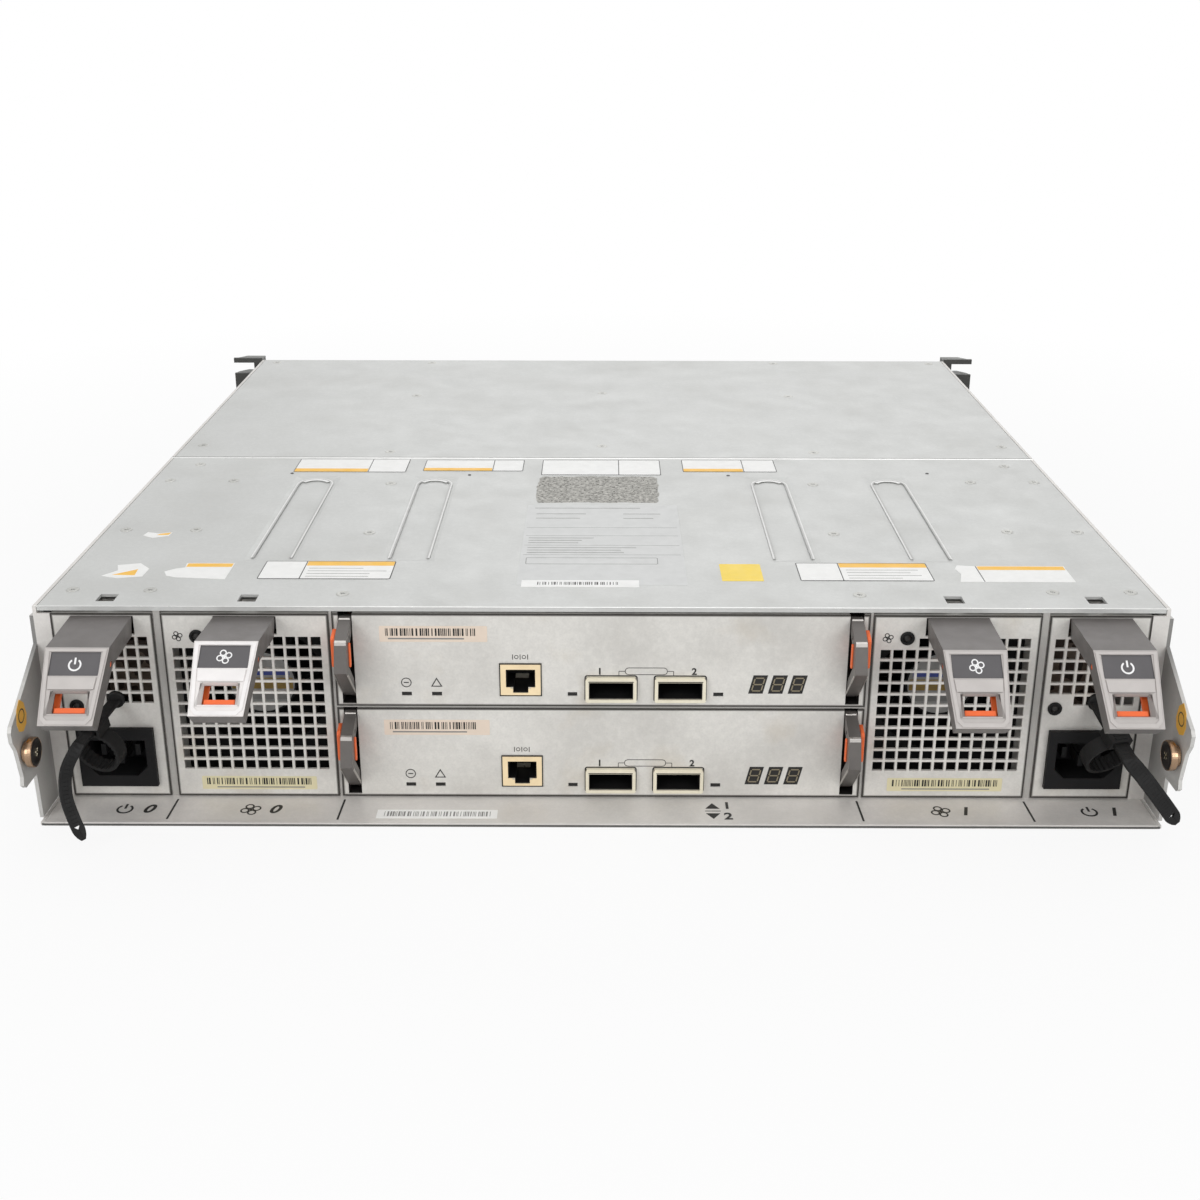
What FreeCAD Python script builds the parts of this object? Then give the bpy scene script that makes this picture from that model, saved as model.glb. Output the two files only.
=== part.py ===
import FreeCAD, Part
import math
import os
import re
import Sketcher

# A 2U disk shelf for a 19-inch rack. Millimetres, +Z up, -Y towards the rear, where the power,
# fan and expander modules plug in, and +Y towards the front, where the drives plug in. The
# origin is the centre of the chassis's underside. Modules are drawn about their own zero: the
# middle of their width, the face plane and their underside.

SIZES = {
    # chassis
    "chassis_width": 446, "chassis_height": 86, "chassis_length": 412,
    "side_sheet": 1.5, "floor_sheet": 1.4, "cover_sheet": 1.2, "cover_hem": 1.8,
    "rear_cover_length": 197, "seam_gap": 0.4, "cover_gap": 0.3, "lap_width": 10, "lap_sheet": 0.8,
    "side_lip": 7, "corner_flange": 5, "sill_depth": 21, "sill_lip": 1.7,
    "rib_width": 15, "rib_length": 109, "rib_slope": 3.5, "rib_depth": 0.6, "rib_start": 53,
    "rib_inner_x": 82, "rib_outer_x": 140.5,
    "window_play": 0.4, "window_start": 5.3,
    # rail brackets and rack ears
    "bracket_sheet": 1.5, "bracket_lap": 60, "fin_reach": 35,
    "lock_height": 35.6, "lock_reach": 25.5, "lock_radius": 6, "lock_knob": 6.2, "lock_neck": 2.1,
    "lock_thread": 2.4, "lock_free": 9, "running_gap": 0.08,
    "ear_span": 482.6, "ear_height": 87.6, "ear_sheet": 2, "ear_arm": 30,
    "slot_spacing": 76.2, "slot_width": 7, "slot_reach": 13,
    # module bays
    "module_height": 81.2, "module_depth": 262, "module_skin": 1, "face_sheet": 1.2,
    "floor_gap": 0.4, "slot_gap": 0.2, "power_width": 40, "fan_width": 66, "post_width": 2.7,
    "web_width": 1, "expander_height": 40.2, "shelf_sheet": 0.6,
    # grilles
    "grille_pitch": 5, "grille_hole": 4, "fan_grille_count": 12, "fan_grille_top": 71.4,
    "power_grille_columns": 7, "power_grille_rows": 6, "power_grille_top": 71.2,
    # pull handle and its latch
    "handle_width": 24, "handle_foot": 19.3, "handle_reach": 28, "handle_drop": 21.5,
    "handle_top": 80.2, "handle_wall": 2, "handle_pivot_y": 2.5, "handle_pivot_z": 75.7,
    "handle_lift": 6, "tooth_width": 6.4, "tooth_play": 0.6, "tooth_top": 6.4,
    "finger_width": 12.4, "finger_start": 17.4, "finger_end": 25.2,
    "latch_bar": 1.6, "latch_arm": 2, "latch_depth": 5.4, "latch_shaft": 1.2,
    # fans
    "fan_size": 60, "fan_depth": 38, "fan_set_back": 15.5, "fan_plate": 1.5, "duct_radius": 28,
    "hub_radius": 14.5, "blade_radius": 27.3, "blade_count": 7, "blade_pitch": 38,
    "blade_sheet": 1.3, "spindle_radius": 2,
    # mains inlet and cord retainer
    "inlet_width": 31, "inlet_low": 5.2, "inlet_high": 31.2, "inlet_proud": 2, "inlet_body": 26.6,
    "inlet_rise": 20, "well_width": 24, "well_height": 16, "well_depth": 16,
    "strap_width": 6, "strap_sheet": 1.4, "clamp_length": 8, "clamp_wall": 1.4, "clamp_place": 16.5,
    "ring_radius": 9.6, "ring_wall": 1.6,
    # expander
    "channel_start": 97.9, "channel_width": 5.5, "channel_depth": 14, "lever_play": 0.35,
    "lever_pin": 1.1, "latch_pin": 0.8, "lever_pin_y": 2.2, "lever_pin_z": 36.8, "board_sheet": 1.6,
    # drives
    "bay_pitch": 17.9, "bank_size": 6, "bank_gap": 0.6, "cage_sheet": 1.2,
    "midplane_sheet": 2.4, "bezel_depth": 12, "bezel_width": 17.4, "bezel_gap": 0.5,
    "drive_lever_width": 11, "drive_lever_height": 54,
}

document = FreeCAD.newDocument("disk_shelf")
sheet = document.addObject("Spreadsheet::Sheet", "Sizes")
for row, (alias, size) in enumerate(SIZES.items(), 1):
    sheet.set(f"A{row}", alias)
    sheet.set(f"B{row}", str(size))
    sheet.setAlias(f"B{row}", alias)
document.recompute()

# Places that many pieces share, as formulas of the sheet's cells.
REAR = "(-chassis_length / 2)"
FRONT = "(chassis_length / 2)"
SEAM = f"({REAR} + rear_cover_length)"
WALL_X = "(chassis_width / 2 - side_sheet)"
COVER_Z = "(chassis_height - cover_sheet)"
MODULE_Z = "(floor_sheet + floor_gap)"
POWER_X = f"({WALL_X} - corner_flange - slot_gap - power_width / 2)"
FAN_X = f"({POWER_X} - (power_width + fan_width) / 2 - post_width - 2 * slot_gap)"
EXPANDER_HALF = f"({FAN_X} - fan_width / 2 - web_width - 2 * slot_gap)"
UPPER_Z = f"({MODULE_Z} + expander_height + shelf_sheet + 2 * slot_gap)"
MIDPLANE_Y = f"({REAR} + module_depth + floor_gap)"
CAGE_Y = f"({MIDPLANE_Y} + midplane_sheet)"
WINDOW = "(tooth_width + 2 * window_play)"
LEVER_WIDTH = "(channel_width - 2 * lever_play)"

subparts = []


def named(formula):
    """The formula with each word that is a size turned into its cell of the sheet."""
    swap = lambda word: "Sizes." + word.group() if word.group() in SIZES else word.group()
    return re.sub(r"[a-z][a-z_0-9]+", swap, str(formula))


def value(formula):
    """The number that a formula gives now."""
    return float(sheet.evalExpression(named(formula)))


def bind(item, **formulas):
    for name, formula in formulas.items():
        item.setExpression(name, named(formula))
    return item


def place(item, x="0", y="0", z="0"):
    for axis, formula in zip("xyz", (x, y, z)):
        item.setExpression("Placement.Base." + axis, named(formula))
    return item


def subpart(item, x="0", y="0", z="0"):
    """Put a finished sub-part where it belongs and list it for export."""
    item.Label = item.Name
    subparts.append(item)
    return place(item, x, y, z)


def block(name, x, y, z):
    """A box between two formulas along each axis."""
    box = document.addObject("Part::Box", name)
    bind(box, Length=f"{x[1]} - ({x[0]})", Width=f"{y[1]} - ({y[0]})", Height=f"{z[1]} - ({z[0]})")
    return place(box, x[0], y[0], z[0])


def centred(half):
    return (f"-({half})", f"({half})")


TURNS = {
    "x": FreeCAD.Rotation(FreeCAD.Vector(0, 1, 0), 90),
    "y": FreeCAD.Rotation(FreeCAD.Vector(1, 0, 0), -90),
    "z": FreeCAD.Rotation(),
}


def rod(name, axis, radius, start, length):
    """A cylinder along an axis, from the formulas of its starting point."""
    cylinder = document.addObject("Part::Cylinder", name)
    bind(cylinder, Radius=radius, Height=length)
    cylinder.Placement.Rotation = TURNS[axis]
    return place(cylinder, *start)


def stud(name, axis, sides, radius, start, length):
    """A many-sided stud along an axis; its corners lie on the radius."""
    prismatic = document.addObject("Part::Prism", name)
    prismatic.Polygon = sides
    bind(prismatic, Circumradius=radius, Height=length)
    prismatic.Placement.Rotation = TURNS[axis]
    return place(prismatic, *start)


# Small pins have six sides; a hole with as many, this much wider, lets their corners turn.
PIN_SIDES = 6
ROUND_HOLE = 1 / math.cos(math.pi / PIN_SIDES)

PLANES = {"XY": 1, "XZ": -1, "YZ": 1}


def outline_sketch(body, plane, outline, level):
    """A closed outline whose corners are formulas, on one of the body's own planes."""
    sketch = body.newObject("Sketcher::SketchObject", body.Name + "_outline")
    role = plane + "_Plane"
    origin_plane = [item for item in body.Origin.OriginFeatures if item.Role == role][0]
    sketch.AttachmentSupport = [(origin_plane, "")]
    sketch.MapMode = "FlatFace"
    sketch.setExpression("AttachmentOffset.Base.z", named(f"{PLANES[plane]} * ({level})"))
    corners = [FreeCAD.Vector(value(across), value(up), 0) for across, up in outline]
    for start, end in zip(corners, corners[1:] + corners[:1]):
        sketch.addGeometry(Part.LineSegment(start, end), False)
    for index, (across, up) in enumerate(outline):
        sketch.addConstraint(Sketcher.Constraint("Coincident", index - 1 if index else
                                                 len(outline) - 1, 2, index, 1))
    for index, corner in enumerate(corners):
        for kind, number, formula in zip(("DistanceX", "DistanceY"), corner, outline[index]):
            datum = sketch.addConstraint(Sketcher.Constraint(kind, -1, 1, index, 1, number))
            sketch.setExpression(f"Constraints[{datum}]", named(formula))
    return sketch


def prism(name, plane, outline, low, high):
    """A body padded from an outline, between two formulas along the plane's normal."""
    body = document.addObject("PartDesign::Body", name)
    level = high if plane == "XZ" else low
    sketch = outline_sketch(body, plane, outline, level)
    pad = body.newObject("PartDesign::Pad", name + "_pad")
    pad.Profile = sketch
    bind(pad, Length=f"{high} - ({low})")
    sketch.Visibility = False
    return body


def pocket(body, name, plane, outline, level, depth):
    """Cut an outline into a body: towards +Y from an XZ plane, towards -Z from an XY plane."""
    sketch = outline_sketch(body, plane, outline, level)
    cut_out = body.newObject("PartDesign::Pocket", name)
    cut_out.Profile = sketch
    bind(cut_out, Length=depth)
    return cut_out


def rectangle(across, up):
    return [(across[0], up[0]), (across[1], up[0]), (across[1], up[1]), (across[0], up[1])]


def fuse(name, pieces):
    union = document.addObject("Part::MultiFuse", name)
    union.Shapes = pieces
    union.Refine = True
    return union


def cut(name, base, tools):
    """The base less its tools."""
    result = document.addObject("Part::Cut", name)
    result.Base = base
    result.Tool = tools[0] if len(tools) == 1 else fuse(name + "_tools", tools)
    return result


def group(name, pieces):
    """Separate solids that share one node."""
    bundle = document.addObject("Part::Compound", name)
    bundle.Links = pieces
    return bundle


def formed(name, shape):
    """A sub-part whose shape is worked out in code from the sheet."""
    item = document.addObject("Part::Feature", name)
    item.Shape = shape
    return item


# ---------------------------------------------------------------------------- chassis

def chassis_tray():
    half = "chassis_width / 2"
    section = [(f"-{half}", "0"), (half, "0"), (half, "chassis_height"),
               (WALL_X, "chassis_height"), (WALL_X, "floor_sheet"),
               (f"-{WALL_X}", "floor_sheet"), (f"-{WALL_X}", "chassis_height"),
               (f"-{half}", "chassis_height")]
    sill = centred(WALL_X)
    sill_end = f"{REAR} - sill_depth"
    pieces = [prism("tray_channel", "XZ", section, REAR, FRONT),
              block("tray_sill", sill, (sill_end, REAR), ("0", "floor_sheet")),
              block("tray_lip", sill, (sill_end, f"{sill_end} + side_sheet"), ("0", "sill_lip"))]
    flange_in = f"{WALL_X} - corner_flange"
    for side, span in (("left", (f"-{WALL_X}", f"-({flange_in})")), ("right", (flange_in, WALL_X))):
        pieces.append(block("tray_flange_" + side, span, (REAR, f"{REAR} + face_sheet"),
                            ("floor_sheet", f"{COVER_Z} - cover_hem")))
    subpart(fuse("chassis_tray", pieces))


def sunk_rib(name, x):
    """Shallow recess with sloping sides that stiffens the cover, to be cut from its top."""
    wedge = document.addObject("Part::Wedge", name)
    half, wide = "rib_width / 2", "(rib_width / 2 + rib_slope)"
    bind(wedge, Xmin=f"-{half}", Xmax=half, Ymin="0", Ymax="rib_depth", Zmin="0",
         Zmax="rib_length", X2min=f"-{wide}", X2max=wide, Z2min="-rib_slope",
         Z2max="rib_length + rib_slope")
    wedge.Placement.Rotation = FreeCAD.Rotation(FreeCAD.Vector(1, 0, 0), 90)
    return place(wedge, x, f"{REAR} + rib_start + rib_length", "chassis_height - rib_depth")


def rear_cover():
    edge = f"{WALL_X} - cover_gap"
    hem_end = f"{REAR} + cover_sheet"
    lip_z = ("chassis_height - side_lip", COVER_Z)
    pieces = [block("rear_cover_top", centred(edge), (REAR, SEAM), (COVER_Z, "chassis_height")),
              block("rear_cover_hem", centred(edge), (REAR, hem_end),
                    ("chassis_height - cover_hem", "chassis_height"))]
    for side, inner, outer in (("left", f"-({edge})", f"-({edge}) + cover_sheet"),
                               ("right", f"{edge} - cover_sheet", edge)):
        pieces.append(block("rear_cover_lip_" + side, (inner, outer),
                            (f"{REAR} + 2 * cover_sheet", f"{SEAM} - lap_width - seam_gap"), lip_z))
    openings = [sunk_rib(f"rib_{index}", x) for index, x in
                enumerate(("-rib_outer_x", "-rib_inner_x", "rib_inner_x", "rib_outer_x"))]
    for index, x in enumerate((f"-{POWER_X}", f"-{FAN_X}", FAN_X, POWER_X)):
        start = f"{REAR} + window_start"
        openings.append(block(f"window_{index}", (f"{x} - {WINDOW} / 2", f"{x} + {WINDOW} / 2"),
                              (start, f"{start} + {WINDOW}"),
                              (f"{COVER_Z} - 1", "chassis_height + 1")))
    subpart(cut("rear_cover", fuse("rear_cover_sheet", pieces), openings))


def front_cover():
    edge = f"{WALL_X} - cover_gap"
    start = f"{SEAM} + seam_gap"
    pieces = [block("front_cover_top", centred(edge), (start, FRONT), (COVER_Z, "chassis_height")),
              block("front_cover_lap", centred(f"{edge} - 2 * cover_sheet"),
                    (f"{SEAM} - lap_width", f"{start} + lap_width"),
                    (f"{COVER_Z} - lap_sheet", COVER_Z))]
    subpart(fuse("front_cover", pieces))


def rail_bracket(side, sign):
    """Flat plate riveted outside the wall, with a fin and a hook behind the chassis."""
    reach = f"({REAR} - fin_reach)"
    outline = [(f"{REAR} + bracket_lap", "floor_sheet"), (f"{REAR} + bracket_lap", "80"),
               (REAR, "82"), (REAR, "70"), (f"{reach} + 8.5", "54.2"), (f"{reach} + 1.5", "50.6"),
               (reach, "48.6"), (f"{reach} + 0.3", "44.2"), (f"{reach} + 3", "39.5"),
               (f"{reach} + 5.4", "27"), (f"{reach} + 4.6", "23.4"), (f"{reach} + 6.5", "21.6"),
               (f"{REAR} - 17.6", "21.5"), (f"{REAR} - 17", "floor_sheet")]
    wall = f"{sign} * chassis_width / 2"
    span = (wall, f"{wall} + bracket_sheet") if sign > 0 else (f"{wall} - bracket_sheet", wall)
    plate = prism(f"bracket_plate_{side}", "YZ", outline, *span)
    hole = rod(f"bracket_hole_{side}", "x", "lock_neck + running_gap",
               (f"{span[0]} - 1", f"{REAR} - lock_reach", "lock_height"), "bracket_sheet + 2")
    subpart(cut(f"rail_bracket_{side}", plate, [hole]))


def thumbscrew(side, sign):
    """Captive screw along X: knob inboard, a neck in the fin's hole and the thread outboard."""
    centre = (f"{REAR} - lock_reach", "lock_height")
    neck = "2 * cover_gap + bracket_sheet"
    knob_x, neck_x = "(chassis_width / 2 - cover_gap - lock_knob)", "(chassis_width / 2 - cover_gap)"
    low = {part: start if sign > 0 else f"-({start}) - ({length})"
           for part, start, length in (("knob", knob_x, "lock_knob"), ("neck", neck_x, neck),
                                       ("thread", f"{neck_x} + {neck}", "lock_free"))}
    pieces = [stud(f"thumb_knob_{side}", "x", 12, "lock_radius", (low["knob"], *centre), "lock_knob"),
              rod(f"thumb_neck_{side}", "x", "lock_neck", (low["neck"], *centre), neck),
              rod(f"thumb_thread_{side}", "x", "lock_thread", (low["thread"], *centre), "lock_free")]
    subpart(fuse(f"thumbscrew_{side}", pieces))


def rack_ear(side, sign):
    """Front flange with two open-ended slots, and an arm along the wall."""
    wall, tip = "chassis_width / 2", "ear_span / 2"

    def across(low, high):
        return (low, high) if sign > 0 else (f"-({high})", f"-({low})")

    front = (f"{FRONT} - ear_sheet", FRONT)
    pieces = [block(f"ear_flange_{side}", across(wall, tip), front, ("0", "ear_height")),
              block(f"ear_arm_{side}", across(wall, f"{wall} + ear_sheet"),
                    (f"{FRONT} - ear_arm", FRONT), ("4", "82"))]
    slots = []
    for index, offset in enumerate(("-slot_spacing / 2", "slot_spacing / 2")):
        middle = f"chassis_height / 2 {'+' if index else '-'} slot_spacing / 2"
        slots.append(block(f"ear_slot_{side}_{index}", across(f"{tip} - slot_reach", f"{tip} + 1"),
                           (f"{FRONT} - ear_sheet - 1", f"{FRONT} + 1"),
                           (f"{middle} - slot_width / 2", f"{middle} + slot_width / 2")))
    subpart(cut(f"rack_ear_{side}", fuse(f"ear_sheet_{side}", pieces), slots))


def module_cage():
    """The posts between power and fan modules, the webs beside the expanders, and their shelf."""
    depth = (f"{REAR} + 0.5", f"{REAR} + module_depth - 2")
    height = ("floor_sheet", f"{COVER_Z} - lap_sheet")
    post = f"({POWER_X} - power_width / 2 - slot_gap - post_width)"
    web = f"({EXPANDER_HALF} + slot_gap)"
    shelf_z = f"({MODULE_Z} + expander_height + slot_gap)"
    sheets = [block("shelf", centred(web), depth, (shelf_z, f"{shelf_z} + shelf_sheet"))]
    for part, inner, width in (("post", post, "post_width"), ("web", web, "web_width")):
        sheets.append(block(f"{part}_right", (inner, f"{inner} + {width}"), depth, height))
        sheets.append(block(f"{part}_left", (f"-{inner} - {width}", f"-{inner}"), depth, height))
    subpart(group("module_cage", sheets))


# ---------------------------------------------------------------------------- grilles

def module_housing(name, width, columns, rows, top, skipped, skipped_row):
    """Sheet-metal box open at the back, with a face of square holes made by a pattern.

    The row numbered skipped_row, from the top, starts after its skipped holes."""
    half = f"({width} / 2)"
    body = prism(name, "XZ", rectangle(centred(half), ("0", "module_height")), "0", "module_depth")
    inner = rectangle(centred(f"({half} - module_skin)"),
                      ("module_skin", "module_height - module_skin"))
    pocket(body, name + "_inside", "XZ", inner, "face_sheet", "module_depth")
    left = f"(-(({columns} - 1) * grille_pitch + grille_hole) / 2)"

    def hole_field(tag, column, row, column_count, row_count):
        low_x = f"({left} + {column} * grille_pitch)"
        low_z = f"({top} - grille_hole - {row} * grille_pitch)"
        square = rectangle((low_x, f"{low_x} + grille_hole"), (low_z, f"{low_z} + grille_hole"))
        first = pocket(body, f"{name}_{tag}", "XZ", square, "0", "face_sheet")
        document.recompute()
        field = body.newObject("PartDesign::MultiTransform", f"{name}_{tag}_field")
        steps = []
        for axis, count in (("H_Axis", column_count), ("V_Axis", row_count)):
            step = document.addObject("PartDesign::LinearPattern", f"{name}_{tag}_{axis[0]}")
            step.Direction = (first.Profile[0], [axis])
            bind(step, Length=f"({count} - 1) * grille_pitch", Occurrences=count)
            step.Reversed = axis == "V_Axis"
            steps.append(step)
        field.Originals = [first]
        field.Transformations = steps
        body.Tip = field

    if skipped_row == 0:
        hole_field("short", skipped, 0, f"({columns} - {skipped})", "1")
        hole_field("full", 0, 1, columns, f"({rows} - 1)")
    else:
        hole_field("full", 0, 0, columns, f"({rows} - 1)")
        hole_field("short", skipped, f"({rows} - 1)", f"({columns} - {skipped})", "1")
    # the handle's root and its latch's nose pass the face, and its tooth the top
    low_z, root_z, high_z = f"{top} - grille_hole", f"{top} + 1", "module_height - module_skin"
    root_half, nose_half = "(handle_width / 2 + floor_gap)", "(tooth_width / 2 + tooth_play)"
    opening = [(f"-{nose_half}", low_z), (nose_half, low_z), (nose_half, root_z),
               (root_half, root_z), (root_half, high_z), (f"-{root_half}", high_z),
               (f"-{root_half}", root_z), (f"-{nose_half}", root_z)]
    pocket(body, name + "_root_hole", "XZ", opening, "0", "face_sheet")
    pocket(body, name + "_tooth_slot", "XY", rectangle(centred(nose_half), ("3.5", "14.5")),
           "module_height", "module_skin")
    return body


# ---------------------------------------------------------------------------- pull handle

# Along the handle's slanted front leg, s millimetres down from the elbow and d millimetres in
# from its front skin, about the pivot.
ELBOW_Y = "(handle_pivot_y - handle_reach)"
ELBOW_Z = "(handle_top - 1 - handle_pivot_z)"
SLOPE = math.sqrt(0.5)


def on_leg(s, d):
    return (f"{ELBOW_Y} - {SLOPE} * ({s}) + {SLOPE} * ({d})",
            f"{ELBOW_Z} - {SLOPE} * ({s}) - {SLOPE} * ({d})")


LEG = f"(handle_drop / {SLOPE})"
FACE_Y = "(handle_pivot_y - 0.4)"
TOP_Z = "(handle_top - handle_pivot_z)"
UNDER_Z = "(-handle_pivot_z + 71.8)"


def turned(item, x, lift):
    """Hang a handle or its latch on the handle's pivot, lifted by an angle."""
    item.Label = item.Name
    subparts.append(item)
    place(item, x, f"{REAR} - handle_pivot_y", f"{MODULE_Z} + handle_pivot_z")
    item.Placement.Rotation = FreeCAD.Rotation(FreeCAD.Vector(1, 0, 0), 0)
    item.setExpression("Placement.Rotation.Angle", named(f"-({lift})"))
    item.setExpression("Placement.Rotation.Axis.x", "1")
    item.setExpression("Placement.Rotation.Axis.z", "0")


def pull_handle(name, x, lift):
    half = "handle_width / 2"
    profile = [(FACE_Y, TOP_Z), (ELBOW_Y, ELBOW_Z), on_leg(LEG, "0"), on_leg(f"{LEG} - 0.5", "7.2"),
               on_leg("3.4", "9"), (FACE_Y, UNDER_Z)]
    shell = prism(name + "_shell", "YZ", profile, f"-{half}", half)
    foot_z = on_leg(LEG, "8")[1]
    front_view = [(f"-{half}", f"{TOP_Z} + 1"), (f"-{half}", ELBOW_Z), ("-handle_foot / 2", foot_z),
                  ("handle_foot / 2", foot_z), (half, ELBOW_Z), (half, f"{TOP_Z} + 1")]
    taper = prism(name + "_taper", "XZ", front_view, "-60", "10")
    outside = document.addObject("Part::Common", name + "_outside")
    outside.Base, outside.Tool = shell, taper

    wall = "handle_wall"
    hollow_profile = [(f"{FACE_Y} + 5", f"{TOP_Z} - {wall}"), (f"{ELBOW_Y} + 1", f"{ELBOW_Z} - {wall}"),
                      on_leg("1", wall), on_leg(f"{LEG} - {wall}", wall),
                      on_leg(f"{LEG} - {wall}", "14"), on_leg("3", "22"),
                      (f"{FACE_Y} + 5", f"{UNDER_Z} - 12")]
    hollow_view = [("-9.8", f"{TOP_Z} + 1"), ("-9.8", ELBOW_Z), ("-7.7", foot_z), ("7.7", foot_z),
                   ("9.8", ELBOW_Z), ("9.8", f"{TOP_Z} + 1")]
    hollow = document.addObject("Part::Common", name + "_hollow")
    hollow.Base = prism(name + "_hollow_side", "YZ", hollow_profile, "-11", "11")
    hollow.Tool = prism(name + "_hollow_view", "XZ", hollow_view, "-60", "10")

    finger = [on_leg("finger_start", "-1"), on_leg("finger_end", "-1"),
              on_leg("finger_end", "3"), on_leg("finger_start", "3")]
    funnel = [on_leg("finger_start - 0.8", "-1"), on_leg("finger_end + 1.2", "-1"),
              on_leg("finger_end", f"{wall} - 0.6"), on_leg("finger_start", f"{wall} - 0.6")]
    panel = [on_leg("1.6", "-1"), on_leg("11", "-1"), on_leg("11", "0.4"), on_leg("1.6", "0.4")]
    tools = [hollow, prism(name + "_finger", "YZ", finger, *centred("finger_width / 2")),
             prism(name + "_funnel", "YZ", funnel, *centred("finger_width / 2 + 1.2")),
             prism(name + "_panel", "YZ", panel, *centred("9.4")),
             stud(name + "_bearing", "x", PIN_SIDES, f"latch_shaft * {ROUND_HOLE} + running_gap",
                  ("-30", *on_leg("4", "6.6")), "60")]
    tooth_profile = [(f"{FACE_Y} - 6", f"{TOP_Z} - 1"), (f"{FACE_Y} + 3.6", f"{TOP_Z} - 1.2"),
                     ("8", "3.4"), ("8.4", "tooth_top"), ("13", "tooth_top"), ("13.4", "1.6"),
                     ("6.6", "-1.6"), (f"{FACE_Y} - 6", "-1.6")]
    tooth = prism(name + "_tooth", "YZ", tooth_profile, *centred("tooth_width / 2"))
    turned(fuse(name, [cut(name + "_moulding", outside, tools), tooth]), x, lift)


def handle_latch(name, x, lift):
    """Orange squeeze latch in the handle: a bar for the finger, two arms, a shaft and a nose."""
    inner, outer = "latch_depth", "latch_depth + latch_bar"
    arm_top, bar_end = "3", "finger_end"
    arm = [on_leg(arm_top, inner), on_leg(bar_end, inner), on_leg(bar_end, outer),
           on_leg(arm_top, outer)]
    bar = [on_leg("finger_end - 1.9", inner), on_leg(bar_end, inner), on_leg(bar_end, outer),
           on_leg("finger_end - 1.9", outer)]
    arm_out = "7.4"
    shaft_y, shaft_z = on_leg("4", "6.6")
    nose_y, nose_z = "(handle_pivot_y + 2)", "-3.4"
    nose = [(f"{shaft_y}", f"{shaft_z} + 0.9"), (nose_y, nose_z), (nose_y, f"{nose_z} - 1.4"),
            (f"{shaft_y}", f"{shaft_z} - 0.9")]
    shaft_half = "(handle_width / 2 - 1)"
    pieces = [prism(name + "_arm_left", "YZ", arm, f"-{arm_out}", f"-{arm_out} + latch_arm"),
              prism(name + "_arm_right", "YZ", arm, f"{arm_out} - latch_arm", arm_out),
              prism(name + "_bar", "YZ", bar, f"-{arm_out}", arm_out),
              prism(name + "_nose", "YZ", nose, *centred("tooth_width / 2")),
              stud(name + "_shaft", "x", PIN_SIDES, "latch_shaft", (f"-{shaft_half}", shaft_y, shaft_z),
                   f"2 * {shaft_half}")]
    turned(fuse(name, pieces), x, lift)


# ---------------------------------------------------------------------------- fan module

FAN_Z = "(fan_grille_top - ((fan_grille_count - 1) * grille_pitch + grille_hole) / 2)"


def fan_frame(name, x):
    """Square fan frame with a round duct, on a plate that fills the housing."""
    start, body = "fan_set_back", "(fan_set_back + fan_plate)"
    back = f"({body} + fan_depth)"
    half = "fan_size / 2"
    solid = fuse(name + "_solid", [
        block(name + "_plate", centred("(fan_width / 2 - module_skin - cover_gap)"), (start, body),
              ("module_skin", "module_height - module_skin - cover_gap")),
        block(name + "_case", centred(half), (body, back),
              (f"{FAN_Z} - {half}", f"{FAN_Z} + {half}"))])
    duct = stud(name + "_duct", "y", 24, "duct_radius", ("0", f"{start} - 1", FAN_Z),
                "fan_depth + 4")
    mount_start = f"({back} - 4)"
    struts = [stud(name + "_motor", "y", 14, "hub_radius", ("0", mount_start, FAN_Z), "4"),
              block(name + "_strut_level", centred("duct_radius + 1"), (f"{back} - 3", back),
                    (f"{FAN_Z} - 2", f"{FAN_Z} + 2")),
              block(name + "_strut_upright", centred("2"), (f"{back} - 3", back),
                    (f"{FAN_Z} - duct_radius - 1", f"{FAN_Z} + duct_radius + 1")),
              stud(name + "_spindle", "y", PIN_SIDES, "spindle_radius",
                   ("0", f"{mount_start} - 20", FAN_Z), "21")]
    subpart(fuse(name, [cut(name + "_shell", solid, [duct]), *struts]), x, REAR, MODULE_Z)


def drum(radius, sides, low, high):
    """A many-sided drum about +Y between two levels."""
    rim = [FreeCAD.Vector(radius * math.cos(turn), low, radius * math.sin(turn))
           for turn in (2 * math.pi * index / sides for index in range(sides))]
    return Part.Face(Part.makePolygon(rim + rim[:1])).extrude(FreeCAD.Vector(0, high - low, 0))


def fan_rotor(name, x):
    """Hub and swept blades about +Y, on the frame's spindle."""
    hub, tip = value("hub_radius"), value("blade_radius")
    length = value("fan_depth") - 4 - 4
    thickness = value("blade_sheet")
    start = value("fan_set_back + fan_plate") + 3
    count = int(value("blade_count"))
    chord, pitch = length * 0.86, value("blade_pitch")
    swing = chord / 2 * math.sin(math.radians(pitch)) + thickness
    reach = math.sqrt(tip ** 2 - swing ** 2)
    blade = Part.makeBox(reach - hub + 3, chord, thickness,
                         FreeCAD.Vector(hub - 3, -chord / 2, -thickness / 2))
    blade.rotate(FreeCAD.Vector(), FreeCAD.Vector(1, 0, 0), pitch)
    blade.translate(FreeCAD.Vector(0, length / 2, 0))
    blades = []
    for index in range(count):
        turned_blade = blade.copy()
        turned_blade.rotate(FreeCAD.Vector(), FreeCAD.Vector(0, 1, 0), 360 * (index + 0.5) / count)
        blades.append(turned_blade)
    bore = value(f"spindle_radius * {ROUND_HOLE} + running_gap")
    shape = drum(hub, 2 * count, 0, length).fuse(blades).cut(drum(bore, PIN_SIDES, 6, length))
    item = formed(name, shape.removeSplitter())
    subpart(item, x, f"{REAR} + {start}", f"{MODULE_Z} + {FAN_Z}")


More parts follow.
